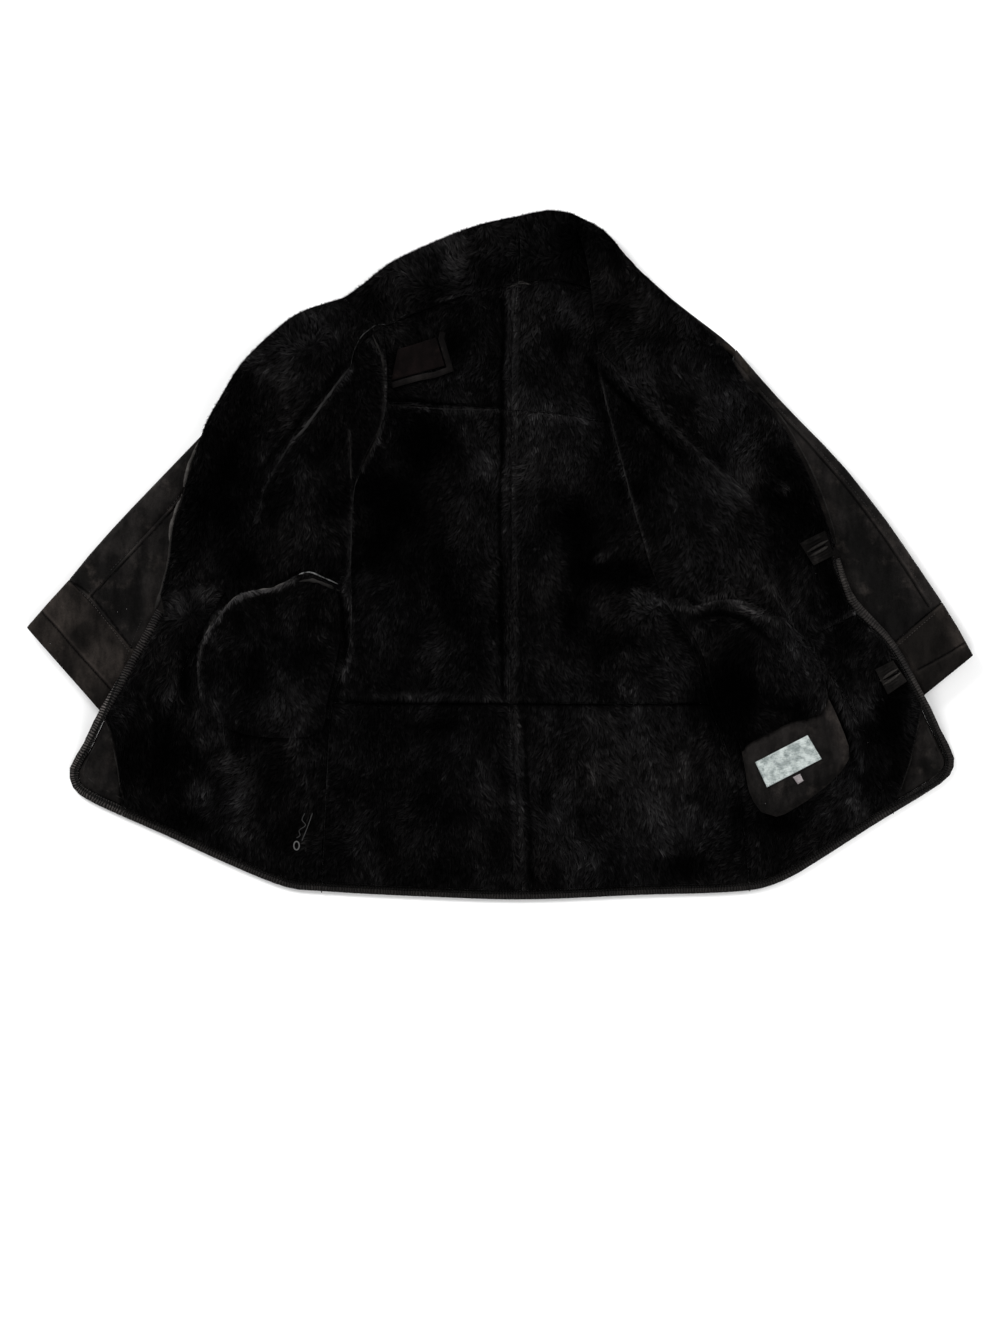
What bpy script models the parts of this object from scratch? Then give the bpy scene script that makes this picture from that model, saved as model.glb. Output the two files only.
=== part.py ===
"""A man's long-haired sheepskin coat, laid open on its back, fur side up.

The coat lies on the plane z = 0 with its collar towards +Y. The back rests on the surface, the flattened
sleeves lie at its sides, and both fronts are turned outwards over the sleeves. Lengths are millimetres
and become metres in the meshes. The origin is under the middle of the coat.
"""

import math

import bmesh
import bpy
import numpy as np
from mathutils import Vector
from mathutils.geometry import delaunay_2d_cdt

MM = 0.001
SEAM_GAP = 0.3  # between two pieces that are sewn together
GRID = 25.0  # distance between a panel's inner points
EDGE_STEP = 22.0  # longest step along a seam or an edge
RIM = 9.0  # how far in from its edge the pile is at its full height
LIE_GAP = 2.0  # between a piece and the pile that it lies on
SLOPE_STEP = 6.0  # on a slope, a piece lies as high as the front is this far uphill

BODY_PILE = 11.0  # hide and pile together
COLLAR_PILE = 16.0
POCKET_PILE = 9.0
PRESSED_PILE = 6.0  # a panel's height under what lies on it
EDGE_SHARE = 0.5  # the pile's height at a seam, as a share of its full height
SUEDE = 2.0  # a bare suede piece
CORNER_HEIGHT = 5.5
LABEL = 0.8
LABEL_GAP = 0.6

SLEEVE_WALL = 9.4
SLEEVE_HEIGHT = 21.0
SLEEVE_STATIONS = 11
CUFF_HEIGHT = 21.6
BINDING_WIDTH = 12.0
BINDING_HEIGHT = 6.5
BOUND_DEPTH = BINDING_WIDTH + SEAM_GAP / 2  # how far a bound panel stays inside its edge
CORNER_SHIFT = 2.0  # the most that a panel's corner gives way to a binding
PATCH_RIM_WIDTH = 8.0
PATCH_RIM_HEIGHT = 3.6

SLEEVE_LIFT = SLEEVE_HEIGHT + 1.6  # a front's underside where a sleeve lies below it
BACK_LIFT = PRESSED_PILE + 2.2  # and where it lies on the back
LIFT_FLAT = 13.0  # how far past what lies below the front stays up
LIFT_FALL = 52.0  # and over how far it then comes down
SEAM_FALL = 36.0  # a front is down on the surface at its side seam, and free this far from it

# Seams and edges, each from its top or its neck end downwards or outwards: x, y in millimetres.
LINES = {
    "collar seam": [(23, 450), (27, 406), (24, 360)],
    "collar top left": [(23, 450), (-27, 439), (-90, 415), (-148, 387), (-178, 363), (-207, 342)],
    "collar top right": [(23, 450), (64, 458), (96, 454)],
    "collar groove": [(96, 454), (116, 390), (121, 355)],
    "lapel groove": [(121, 355), (125, 315), (130, 275)],
    "neck left": [(24, 360), (-27, 351), (-66, 339), (-114, 321), (-156, 303)],
    "neck right": [(24, 360), (66, 367), (121, 355)],
    "collar end left": [(-207, 342), (-184, 318), (-156, 303)],
    "centre seam": [(24, 360), (17, 279), (16, 193), (16, -7), (13, -197), (21, -326), (31, -458)],
    "shoulder left": [(-156, 303), (-213, 299), (-279, 273)],
    "shoulder right": [(121, 355), (133, 390), (157, 407), (186, 376), (239, 332), (295, 289),
                       (313, 273)],
    "armhole left": [(-279, 273), (-267, 190), (-253, 86), (-245, -40)],
    "armhole right": [(313, 273), (282, 180), (266, 73), (262, -49)],
    "underarm left": [(-245, -40), (-197, -66)],
    "underarm right": [(262, -49), (218, -57)],
    "yoke seam left": [(-267, 190), (-156, 202), (-55, 200), (16, 193)],
    "yoke seam right": [(282, 180), (149, 177), (80, 188), (16, 193)],
    "lower seam left": [(-223, -197), (-106, -197), (13, -197)],
    "lower seam right": [(277, -197), (146, -198), (13, -197)],
    "side left": [(-156, 303), (-150, 245), (-153, 185), (-178, 133), (-194, 86), (-198, 7), (-197, -66),
                  (-200, -120), (-211, -154), (-223, -197), (-231, -313), (-237, -447)],
    "side right": [(130, 275), (130, 245), (145, 188), (184, 41), (200, -15), (218, -57), (259, -129),
                   (277, -197), (297, -247), (317, -309), (332, -446)],
    "facing seam left": [(-156, 303), (-189, 279), (-201, 249), (-242, 207), (-278, 149), (-311, 89),
                         (-348, -20), (-407, -121), (-442, -233), (-446, -372)],
    "facing seam right": [(130, 275), (188, 215), (233, 172), (301, 110), (340, 68), (362, -7),
                          (378, -78), (404, -113), (430, -146), (466, -203), (497, -265), (507, -313),
                          (489, -364)],
    "piecing seam right": [(404, -113), (436, -96), (484, -72)],
    "front edge left": [(-207, 342), (-266, 322), (-301, 295), (-343, 253), (-370, 209), (-390, 173),
                        (-415, 96), (-431, 47), (-439, -13), (-455, -72)],
    "front edge right": [(96, 454), (138, 431), (176, 387), (233, 335), (291, 281), (327, 227),
                         (367, 181), (394, 136), (415, 90), (431, 47), (450, -4)],
    "bound edge left": [(-455, -72), (-492, -140), (-531, -207), (-553, -250), (-572, -283), (-568, -309),
                        (-549, -325), (-503, -347)],
    "bound edge right": [(450, -4), (466, -49), (484, -72), (524, -117), (563, -188), (585, -231),
                         (604, -270), (598, -293), (572, -313), (523, -343)],
    "hem": [(-503, -347), (-446, -372), (-359, -412), (-283, -442), (-237, -447), (-106, -454),
            (31, -458), (186, -452), (332, -446), (379, -432), (430, -402), (489, -364), (523, -343)],
    "sleeve top left": [(-279, 273), (-346, 213), (-394, 161), (-440, 113), (-505, 45), (-552, -8),
                        (-572, -33)],
    "sleeve foot left": [(-245, -40), (-348, -94), (-456, -158)],
    "sleeve top right": [(313, 273), (330, 253), (363, 215), (407, 169), (451, 124), (492, 73), (512, 47),
                         (552, -11), (587, -63)],
    "sleeve foot right": [(262, -49), (362, -113), (455, -172)],
    "cuff top left": [(-572, -33), (-612, -77), (-628, -96)],
    "cuff foot left": [(-456, -158), (-517, -222)],
    "cuff top right": [(587, -63), (616, -110), (628, -133)],
    "cuff foot right": [(455, -172), (497, -239)],
    "pocket left": [(-217, -41), (-251, -24), (-269, -27), (-298, -44), (-344, -52), (-375, -86),
                    (-398, -120), (-400, -150), (-396, -192), (-372, -223), (-340, -238), (-277, -243),
                    (-237, -234), (-231, -200), (-221, -156), (-213, -113), (-213, -66), (-217, -41)],
    "pocket cut right": [(321, -262), (329, -251), (362, -234), (388, -221), (424, -211), (434, -189)],
    "pocket fur right": [(434, -189), (428, -158), (414, -133), (398, -113), (376, -85), (338, -68),
                         (314, -60), (286, -61), (255, -68), (243, -56), (227, -60), (267, -126),
                         (286, -190), (314, -241), (321, -262)],
    "pocket suede right": [(434, -189), (444, -209), (462, -254), (463, -270), (454, -287), (424, -315),
                           (388, -339), (367, -348), (347, -342), (331, -315), (326, -289), (321, -262)],
    "corner facing left": [(-531, -207), (-515, -233), (-508, -270), (-505, -309), (-503, -347)],
    "corner facing right": [(563, -188), (555, -217), (549, -257), (537, -297), (523, -343)],
    "neck patch rim": [(-80, 297), (-82, 287), (-77, 270), (-71, 249), (-109, 239), (-145, 229)],
}

# Four-cornered pieces, corner by corner.
PATCHES = {
    "neck_patch": [(-136, 273), (-85, 289), (-73, 251), (-145, 231)],
    "buttonhole_patch_upper": [(396, 15), (430, 32), (443, -1), (415, -15)],
    "buttonhole_patch_lower": [(496, -152), (520, -140), (539, -168), (513, -186)],
    "care_label": [(338, -275), (408, -239), (427, -271), (354, -309)],
    "size_tab": [(388, -295), (398, -290), (403, -300), (395, -305)],
}
RING_AT = (-270, -386)
RING_SIZE = (9.0, 13.0)  # across and along
RING_WIRE = 0.9  # its wire's radius
SLIT = (21.0, 1.6)  # a buttonhole's length and width

# Panels: the seams and edges round each, with two numbers where only the stretch between those points counts,
# the height of its pile, what it lies on and its material.
PANELS = {
    "back_yoke_left": (["centre seam 0 2", "yoke seam left", "armhole left 0 1", "shoulder left",
                        "neck left"], BODY_PILE, "surface", "fur"),
    "back_yoke_right": (["centre seam 0 2", "yoke seam right", "armhole right 0 1", "shoulder right",
                         "neck right"], BODY_PILE, "surface", "fur"),
    "back_middle_left": (["centre seam 2 4", "lower seam left", "side left 6 9", "underarm left",
                          "armhole left 1 3", "yoke seam left"], BODY_PILE, "surface", "fur"),
    "back_middle_right": (["centre seam 2 4", "lower seam right", "side right 5 7", "underarm right",
                           "armhole right 1 3", "yoke seam right"], BODY_PILE, "surface", "fur"),
    "back_lower_left": (["centre seam 4 6", "hem 4 6", "side left 9 11", "lower seam left"],
                        BODY_PILE, "surface", "fur"),
    "back_lower_right": (["centre seam 4 6", "hem 6 8", "side right 7 10", "lower seam right"],
                         BODY_PILE, "surface", "fur"),
    "collar_left": (["collar seam", "collar top left", "collar end left", "neck left"],
                    COLLAR_PILE, "surface", "fur"),
    "collar_right": (["collar seam", "collar top right", "collar groove", "neck right"],
                     COLLAR_PILE, "surface", "fur"),
    "front_left_edge": (["front edge left", "bound edge left 0 2", "corner facing left", "hem 0 1",
                         "facing seam left", "collar end left"], BODY_PILE, "sleeve", "fur"),
    "front_left_body": (["facing seam left", "hem 1 4", "side left"], BODY_PILE, "sleeve", "fur"),
    "front_right_edge_upper": (["collar groove", "lapel groove", "facing seam right 0 7",
                                "piecing seam right", "bound edge right 0 2", "front edge right"],
                               BODY_PILE, "sleeve", "fur"),
    "front_right_edge_lower": (["piecing seam right", "facing seam right 7 12", "hem 11 12",
                                "corner facing right", "bound edge right 2 4"], BODY_PILE, "sleeve", "fur"),
    "front_right_body": (["facing seam right", "hem 8 11", "side right"], BODY_PILE, "sleeve", "fur"),
    "corner_facing_left": (["corner facing left", "bound edge left 2 7"],
                           CORNER_HEIGHT, "sleeve", "suede"),
    "corner_facing_right": (["corner facing right", "bound edge right 4 9"],
                            CORNER_HEIGHT, "sleeve", "suede"),
    "pocket_bag_left": (["pocket left"], POCKET_PILE, "front", "fur"),
    "pocket_bag_right_fur": (["pocket fur right", "pocket cut right"], POCKET_PILE, "front", "fur"),
    "pocket_bag_right_suede": (["pocket suede right", "pocket cut right"], POCKET_PILE, "front", "suede"),
}

PATCH_STACKS = {
    "neck_patch": ("yoke", SUEDE, "patch"),
    "buttonhole_patch_upper": ("front", SUEDE, "suede"),
    "buttonhole_patch_lower": ("front", SUEDE, "suede"),
    "care_label": ("pocket", LABEL, "label"),
    "size_tab": ("pocket", LABEL, "label"),
}
BINDINGS = {
    "front_binding_left": "bound edge left",
    "front_binding_right": "bound edge right",
    "hem_binding_left": "hem 0 4",
    "hem_binding_back": "hem 4 8",
    "hem_binding_right": "hem 8 12",
}
STRIPS_OF_BACK = {  # the back's parts that lie under the fronts
    "left": ["side left 0 6", "underarm left", "armhole left", "shoulder left"],
    "right": ["side right 0 5", "underarm right", "armhole right", "shoulder right", "lapel groove"],
}
SEAM_FALLS = ["side left 8 11", "side right 6 10"]

# A fold of the pile: its line, how high it stands and how wide it is.
FOLDS = {
    "facing seam right 0 9": (4.5, 10.0),
    "facing seam left 1 8": (3.0, 10.0),
    "side right 0 6": (3.5, 9.0),
    "side left 0 9": (3.5, 9.0),
    "piecing seam right": (2.5, 9.0),
}
# Waves of the pile: wavelengths along x and y, and height.
WAVES = [(173.0, 121.0, 0.7), (-97.0, 149.0, 0.5), (61.0, -83.0, 0.35)]

# Sections across a piece: what a point is measured from, how far across and how high.
UNDER_SLEEVE_SECTION = [
    ("foot", 6.0, 0.0), ("top", 8.0, 0.0), ("top", 2.5, 3.5), ("top", 0.0, 10.5), ("top", 2.5, 17.5),
    ("top", 8.5, SLEEVE_HEIGHT), ("seam", 0.0, SLEEVE_HEIGHT), ("seam", 0.0, SLEEVE_HEIGHT - SLEEVE_WALL),
    ("top", 11.5, SLEEVE_HEIGHT - SLEEVE_WALL), ("top", 10.5, 10.5), ("top", 11.5, SLEEVE_WALL),
    ("foot", 2.0, SLEEVE_WALL), ("foot", 0.5, 5.0),
]
UPPER_SLEEVE_SECTION = [
    ("seam", -SEAM_GAP, SLEEVE_HEIGHT - SLEEVE_WALL), ("seam", -SEAM_GAP, SLEEVE_HEIGHT),
    ("foot", 9.0, SLEEVE_HEIGHT), ("foot", 2.0, 18.0), ("foot", 0.0, 12.5), ("foot", 1.5, 9.9),
    ("foot", 9.0, SLEEVE_HEIGHT - SLEEVE_WALL),
]
CUFF_OUTSIDE = [
    ("foot", 8.0, 0.0), ("top", 8.0, 0.0), ("top", 2.0, 3.5), ("top", 0.0, 10.8), ("top", 2.0, 18.0),
    ("top", 8.0, CUFF_HEIGHT), ("foot", 8.0, CUFF_HEIGHT), ("foot", 2.0, 18.0), ("foot", 0.0, 10.8),
    ("foot", 2.0, 3.5),
]
CUFF_INSIDE = [
    ("foot", 12.0, 9.4), ("top", 12.0, 9.4), ("top", 11.0, 9.9), ("top", 10.5, 10.8), ("top", 11.0, 11.7),
    ("top", 12.0, 12.2), ("foot", 12.0, 12.2), ("foot", 11.0, 11.7), ("foot", 10.5, 10.8),
    ("foot", 11.0, 9.9),
]
SLEEVE_SEAM = {"left": (44.0, 38.0), "right": (14.0, 19.0)}  # from the top edge, at the head and at the cuff
# A strip along an edge: shares of its width and of its height.
BEAD_SECTION = [(0.0, 0.3), (0.08, 0.0), (1.0, 0.0), (1.0, 0.7), (0.72, 1.0), (0.3, 1.0), (0.05, 0.75)]

# Colour, roughness and metallic value.
MATERIALS = {
    "fur": ((0.010, 0.010, 0.011), 0.9, 0.0),
    "suede": ((0.022, 0.018, 0.016), 0.8, 0.0),
    "binding": ((0.026, 0.022, 0.020), 0.6, 0.0),
    "patch": ((0.040, 0.020, 0.017), 0.8, 0.0),
    "label": ((0.62, 0.66, 0.68), 0.35, 0.0),
    "metal": ((0.55, 0.55, 0.56), 0.3, 1.0),
}


def clear_scene():
    for thing in list(bpy.data.objects):
        bpy.data.objects.remove(thing)


def make_material(name):
    colour, roughness, metallic = MATERIALS[name]
    material = bpy.data.materials.new(name)
    material.use_nodes = True
    shader = material.node_tree.nodes["Principled BSDF"]
    shader.inputs["Base Color"].default_value = (*colour, 1.0)
    shader.inputs["Roughness"].default_value = roughness
    shader.inputs["Metallic"].default_value = metallic
    material.diffuse_color = (*colour, 1.0)
    return material


# ---- Lines and outlines ----

def smooth_line(points):
    """The points joined by a smooth curve, and where each of them is in it."""
    points = np.array(points, float)
    spans = np.linalg.norm(np.diff(points, axis=0), axis=1)
    padded = np.vstack([2 * points[0] - points[1], points, 2 * points[-1] - points[-2]])
    lengths = np.concatenate([spans[:1], spans, spans[-1:]])
    slopes = (padded[2:] - padded[:-2]) / (lengths[1:] + lengths[:-1])[:, None]
    curve, knots = [], []
    for i, span in enumerate(spans):
        knots.append(len(curve))
        steps = max(1, math.ceil(span / EDGE_STEP))
        for t in np.arange(steps) / steps:
            a, b = points[i], points[i + 1]
            along_a, along_b = slopes[i] * span, slopes[i + 1] * span
            curve.append((2 * t**3 - 3 * t**2 + 1) * a + (t**3 - 2 * t**2 + t) * along_a
                         + (3 * t**2 - 2 * t**3) * b + (t**3 - t**2) * along_b)
    knots.append(len(curve))
    curve.append(points[-1])
    return np.array(curve), knots


def stretch_and_sides(words):
    """A line by its name, or the stretch between two of its points, and the way across it at each place."""
    name, numbers = words, []
    while name.split()[-1].isdigit():
        name, number = name.rsplit(" ", 1)
        numbers.insert(0, int(number))
    curve, knots = smooth_line(LINES[name])
    steps = np.diff(curve, axis=0)
    steps /= np.linalg.norm(steps, axis=1)[:, None]
    square = np.stack([-steps[:, 1], steps[:, 0]], axis=1)
    before, after = np.vstack([square[:1], square]), np.vstack([square, square[-1:]])
    across = (before + after) / (1 + (before * after).sum(1))[:, None]
    if numbers:
        kept = slice(knots[numbers[0]], knots[numbers[1]] + 1)
        curve, across = curve[kept], across[kept]
    return curve, across


def stretch(words):
    return stretch_and_sides(words)[0]


def outline(edges):
    """The edges joined into one anticlockwise loop, and how far the panel stays inside each step of it."""
    runs = [stretch(words) for words in edges]
    if len(runs) > 1:
        from_start = np.linalg.norm(runs[1][[0, -1]] - runs[0][0], axis=1).min()
        from_end = np.linalg.norm(runs[1][[0, -1]] - runs[0][-1], axis=1).min()
        if from_start < from_end:
            runs[0] = runs[0][::-1]
    loop, depths = [runs[0][0]], []
    for words, run in zip(edges, runs):
        if np.linalg.norm(run[0] - loop[-1]) > np.linalg.norm(run[-1] - loop[-1]):
            run = run[::-1]
        loop.extend(run[1:])
        inside = BOUND_DEPTH if words.startswith(("bound edge", "hem")) else SEAM_GAP / 2
        depths.extend([inside] * (len(run) - 1))
    loop, depths = np.array(loop[:-1]), np.array(depths)
    if area(loop) < 0:
        loop, depths = loop[::-1], np.roll(depths[::-1], -1)
    return loop, depths


def area(loop):
    x, y = loop.T
    return float((x * np.roll(y, -1) - y * np.roll(x, -1)).sum() / 2)


def inset(loop, depths):
    """An anticlockwise loop moved inwards, each of its steps by its own depth."""
    steps = np.roll(loop, -1, axis=0) - loop
    steps /= np.linalg.norm(steps, axis=1)[:, None]
    inward = np.stack([-steps[:, 1], steps[:, 0]], axis=1)
    moved, corners = [], []
    for i, point in enumerate(loop):
        before, after = i - 1, i
        turn = float(steps[before][0] * steps[after][1] - steps[before][1] * steps[after][0])
        if abs(turn) < 0.35 and depths[before] != depths[after]:
            moved.append(point + inward[before] * depths[before])
            moved.append(point + inward[after] * depths[after])
            corners += [False, False]
            continue
        if abs(turn) < 0.02:
            moved.append(point + inward[after] * depths[after])
            corners.append(False)
            continue
        shift = (depths[before] * steps[after] - depths[after] * steps[before]) / turn
        moved.append(point + shift)
        corners.append(turn > 0.5)
    moved, corners = np.array(moved), np.array(corners)
    if depths.max() == BOUND_DEPTH:
        for words in BINDINGS.values():
            line = stretch(words)
            away = distance(moved, line)
            near = (away > BOUND_DEPTH - CORNER_SHIFT) & (away < BOUND_DEPTH) & corners
            for place in np.flatnonzero(near):
                moved[place] = off_line(moved[place], line)
            kept = near | (away > BOUND_DEPTH - SEAM_GAP / 5)
            moved, corners = moved[kept], corners[kept]
    return moved


def off_line(place, line):
    """A place moved away from a line to a bound edge's depth."""
    runs = line[1:] - line[:-1]
    share = np.clip(((place - line[:-1]) * runs).sum(1) / (runs**2).sum(1), 0, 1)
    feet = line[:-1] + share[:, None] * runs
    away = np.linalg.norm(place - feet, axis=1)
    foot = feet[away.argmin()]
    return foot + (place - foot) / away.min() * BOUND_DEPTH


def evenly(line, count):
    """That many points at equal distances along a line."""
    along = np.concatenate([[0], np.cumsum(np.linalg.norm(np.diff(line, axis=0), axis=1))])
    at = np.linspace(0, along[-1], count)
    return np.stack([np.interp(at, along, line[:, k]) for k in range(2)], axis=1)


def distance(places, line, closed=False):
    """How far each place is from a line."""
    ends = np.roll(line, -1, axis=0) if closed else line[1:]
    starts = line if closed else line[:-1]
    run = ends - starts
    offset = places[:, None] - starts[None]
    share = np.clip((offset * run).sum(2) / np.maximum((run * run).sum(1), 1e-9), 0, 1)
    return np.linalg.norm(offset - share[..., None] * run[None], axis=2).min(1)


def is_inside(places, loop):
    x, y = places[:, :1], places[:, 1:]
    (x0, y0), (x1, y1) = loop.T, np.roll(loop, -1, axis=0).T
    spans = (y0[None] > y) != (y1[None] > y)
    crossing = x0 + (y - y0) * (x1 - x0) / np.where(y1 == y0, 1e-9, y1 - y0)
    return ((spans & (x < crossing)).sum(1) % 2).astype(bool)


def outside_by(places, loop):
    """How far outside a loop each place is, and less than nothing inside it."""
    away = distance(places, loop, closed=True)
    return np.where(is_inside(places, loop), -away, away)


def fading(away, flat, fall):
    """1 up to flat, then smoothly down to 0 over fall."""
    t = np.clip((away - flat) / fall, 0, 1)
    return 1 - t * t * (3 - 2 * t)


# ---- How high things lie ----

def sleeve_loop(side):
    edges = [f"sleeve top {side}", f"cuff top {side}"]
    back = [f"cuff foot {side}", f"sleeve foot {side}"]
    up = np.vstack([stretch(words) for words in edges])
    down = np.vstack([stretch(words)[::-1] for words in back])
    return np.vstack([up, down])


def lift(places):
    """How far a front's underside is above the surface, over the sleeves and over the back's strips."""
    height = np.zeros(len(places))
    for side in ("left", "right"):
        over_sleeve = fading(outside_by(places, sleeve_loop(side)), LIFT_FLAT, LIFT_FALL)
        strip, _ = outline(STRIPS_OF_BACK[side])
        over_back = fading(outside_by(places, strip), LIFT_FLAT, LIFT_FALL)
        height = np.maximum(height, np.maximum(SLEEVE_LIFT * over_sleeve, BACK_LIFT * over_back))
    for words in SEAM_FALLS:
        height = height * (1 - fading(distance(places, stretch(words)), 0.0, SEAM_FALL))
    return height


def underside(places, stack):
    """The height of what a piece lies on."""
    if stack == "surface":
        return np.zeros(len(places))
    if stack == "yoke":
        return np.full(len(places), PRESSED_PILE + LIE_GAP)
    height = lift(places)
    if stack in ("front", "pocket"):
        for step in ((SLOPE_STEP, 0.0), (-SLOPE_STEP, 0.0), (0.0, SLOPE_STEP), (0.0, -SLOPE_STEP)):
            height = np.maximum(height, lift(places + np.array(step)))
        height = height + PRESSED_PILE + LIE_GAP
    if stack == "pocket":
        height = height + POCKET_PILE + LABEL_GAP
    return height


def corners_of(patch, inside):
    """A patch's corners, anticlockwise, its sides moved in by so much."""
    corners = np.array(PATCHES[patch], float)
    if area(corners) < 0:
        corners = corners[::-1]
    return inset(corners, np.full(len(corners), inside))


def pressing_loops(name):
    """The outlines of what presses a panel's pile down."""
    if name.startswith("back"):
        loops = [outline(edges)[0] for edges in STRIPS_OF_BACK.values()]
        return loops + [corners_of("neck_patch", -PATCH_RIM_WIDTH)]
    loops = [outline(PANELS[bag][0])[0] for bag in PANELS if bag.startswith("pocket_bag")]
    return loops + [corners_of(patch, 0.0) for patch in PATCHES if patch.startswith("buttonhole")]


def pile_height(places, name, loop):
    """The pile's height over a panel, lower at its seams and under what lies on it, with folds and waves."""
    _, full, stack, look = PANELS[name]
    rim = np.clip(distance(places, loop, closed=True) / RIM, 0, 1)
    share = EDGE_SHARE + (1 - EDGE_SHARE) * np.sqrt(1 - (1 - rim) ** 2)
    height = full * share
    if look != "fur" or stack == "front":
        return height
    relief = np.zeros(len(places))
    for words, (ridge, width) in FOLDS.items() if name.startswith("front") else ():
        relief = relief + ridge * np.exp(-(distance(places, stretch(words)) / width) ** 2)
    for long_x, long_y, wave in WAVES:
        relief = relief + wave * np.sin(2 * math.pi * (places[:, 0] / long_x + places[:, 1] / long_y))
    pressed = np.zeros(len(places))
    for region in pressing_loops(name):
        pressed = np.maximum(pressed, fading(outside_by(places, region), LIFT_FLAT, 2 * RIM))
    return (height + relief * (0.3 + 0.7 * rim)) * (1 - pressed) + PRESSED_PILE * share * pressed


# ---- Meshes ----

def add_object(name, mesh_maker, material):
    mesh_maker.normal_update()
    bmesh.ops.recalc_face_normals(mesh_maker, faces=mesh_maker.faces[:])
    mesh = bpy.data.meshes.new(name)
    mesh_maker.to_mesh(mesh)
    mesh_maker.free()
    mesh.shade_smooth()
    mesh.set_sharp_from_angle(angle=math.radians(50))
    thing = bpy.data.objects.new(name, mesh)
    thing.data.materials.append(material)
    bpy.context.scene.collection.objects.link(thing)
    return thing


def inner_points(loop):
    """A panel's own points: a row along its rim and a grid inside that."""
    rim = inset(loop, np.full(len(loop), RIM))
    rim = rim[is_inside(rim, loop)]
    rim = rim[distance(rim, loop, closed=True) > 0.95 * RIM]
    low, high = loop.min(0), loop.max(0)
    xs = np.arange(math.floor(low[0] / GRID), math.ceil(high[0] / GRID) + 1) * GRID
    ys = np.arange(math.floor(low[1] / GRID), math.ceil(high[1] / GRID) + 1) * GRID
    grid = np.array([(x + (row % 2) * GRID / 2, y) for row, y in enumerate(ys) for x in xs])
    grid = grid[is_inside(grid, loop)]
    if len(grid):
        grid = grid[distance(grid, loop, closed=True) > RIM + 0.45 * GRID]
    kept = []
    for point in rim:
        if all(np.linalg.norm(point - other) > 0.4 * GRID for other in kept):
            kept.append(point)
    return np.array(kept + list(grid)).reshape(-1, 2)


def make_slab(name, loop, under, height, material):
    """A closed slab over a loop. Under and height give its underside and its thickness at any place."""
    places = np.vstack([loop, inner_points(loop)])
    ring = list(range(len(loop)))
    flat, _, faces, _, _, _ = delaunay_2d_cdt([Vector(p) for p in places], [], [ring], 1, 1e-4)
    flat = np.array([tuple(p) for p in flat])
    maker = bmesh.new()
    corners = [maker.verts.new((x * MM, y * MM, z * MM)) for (x, y), z in zip(flat, under(flat))]
    for face in faces:
        maker.faces.new([corners[i] for i in face])
    risen = bmesh.ops.extrude_face_region(maker, geom=maker.faces[:])
    top = [part for part in risen["geom"] if isinstance(part, bmesh.types.BMVert)]
    for corner, rise in zip(top, height(np.array([corner.co.xy for corner in top]) / MM)):
        corner.co.z += rise * MM
    return add_object(name, maker, material)


def make_loft(name, sections, material, is_ring=False):
    """A bar with one section after another, closed at both ends or round into a ring."""
    maker = bmesh.new()
    rings = [[maker.verts.new(Vector(place) * MM) for place in section] for section in sections]
    following = rings[1:] + rings[:1] if is_ring else rings[1:]
    for ring, other in zip(rings, following):
        for i in range(len(ring)):
            j = (i + 1) % len(ring)
            maker.faces.new((ring[i], ring[j], other[j], other[i]))
    if not is_ring:
        maker.faces.new(rings[0])
        maker.faces.new(rings[-1])
    return add_object(name, maker, material)


def make_bead(name, words, width, height, stack, material):
    """A strip of leather along the inner side of a line, lying on what the stack says."""
    line, across = stretch_and_sides(words)
    middle = len(line) // 2
    if across[middle] @ (-line[middle]) < 0:
        across = -across
    line[0] += (line[1] - line[0]) / np.linalg.norm(line[1] - line[0]) * 1.5 * SEAM_GAP
    line[-1] += (line[-2] - line[-1]) / np.linalg.norm(line[-2] - line[-1]) * 1.5 * SEAM_GAP
    sections = []
    for point, side in zip(line, across):
        places = np.array([point + side * share * (width - SEAM_GAP / 2) for share, _ in BEAD_SECTION])
        heights = underside(places, stack) + height * np.array([rise for _, rise in BEAD_SECTION])
        sections.append([(x, y, z) for (x, y), z in zip(places, heights)])
    return make_loft(name, sections, material)


def section_at(foot, top, strip, rows):
    """One section of a sleeve between its foot edge and its top edge."""
    width = float(np.linalg.norm(top - foot))
    across = (top - foot) / width
    reach = {"foot": lambda off: off, "top": lambda off: width - off, "seam": lambda off: width - strip + off}
    places = [(foot + across * reach[end](off), height) for end, off, height in rows]
    return [(place[0], place[1], height) for place, height in places]


def make_sleeve(side, material):
    """The two pieces of a flattened sleeve: the under piece turns over the top edge to the seam."""
    tops = evenly(stretch(f"sleeve top {side}"), SLEEVE_STATIONS)
    feet = evenly(stretch(f"sleeve foot {side}"), SLEEVE_STATIONS)
    clear = SEAM_GAP * 2
    for line in (tops, feet):
        line[0] += (line[1] - line[0]) / np.linalg.norm(line[1] - line[0]) * clear
        line[-1] += (line[-2] - line[-1]) / np.linalg.norm(line[-2] - line[-1]) * clear
    strips = np.linspace(*SLEEVE_SEAM[side], SLEEVE_STATIONS)
    for name, rows in (("under", UNDER_SLEEVE_SECTION), ("upper", UPPER_SLEEVE_SECTION)):
        sections = [section_at(foot, top, strip, rows) for foot, top, strip in zip(feet, tops, strips)]
        make_loft(f"sleeve_{side}_{name}", sections, material)


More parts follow.
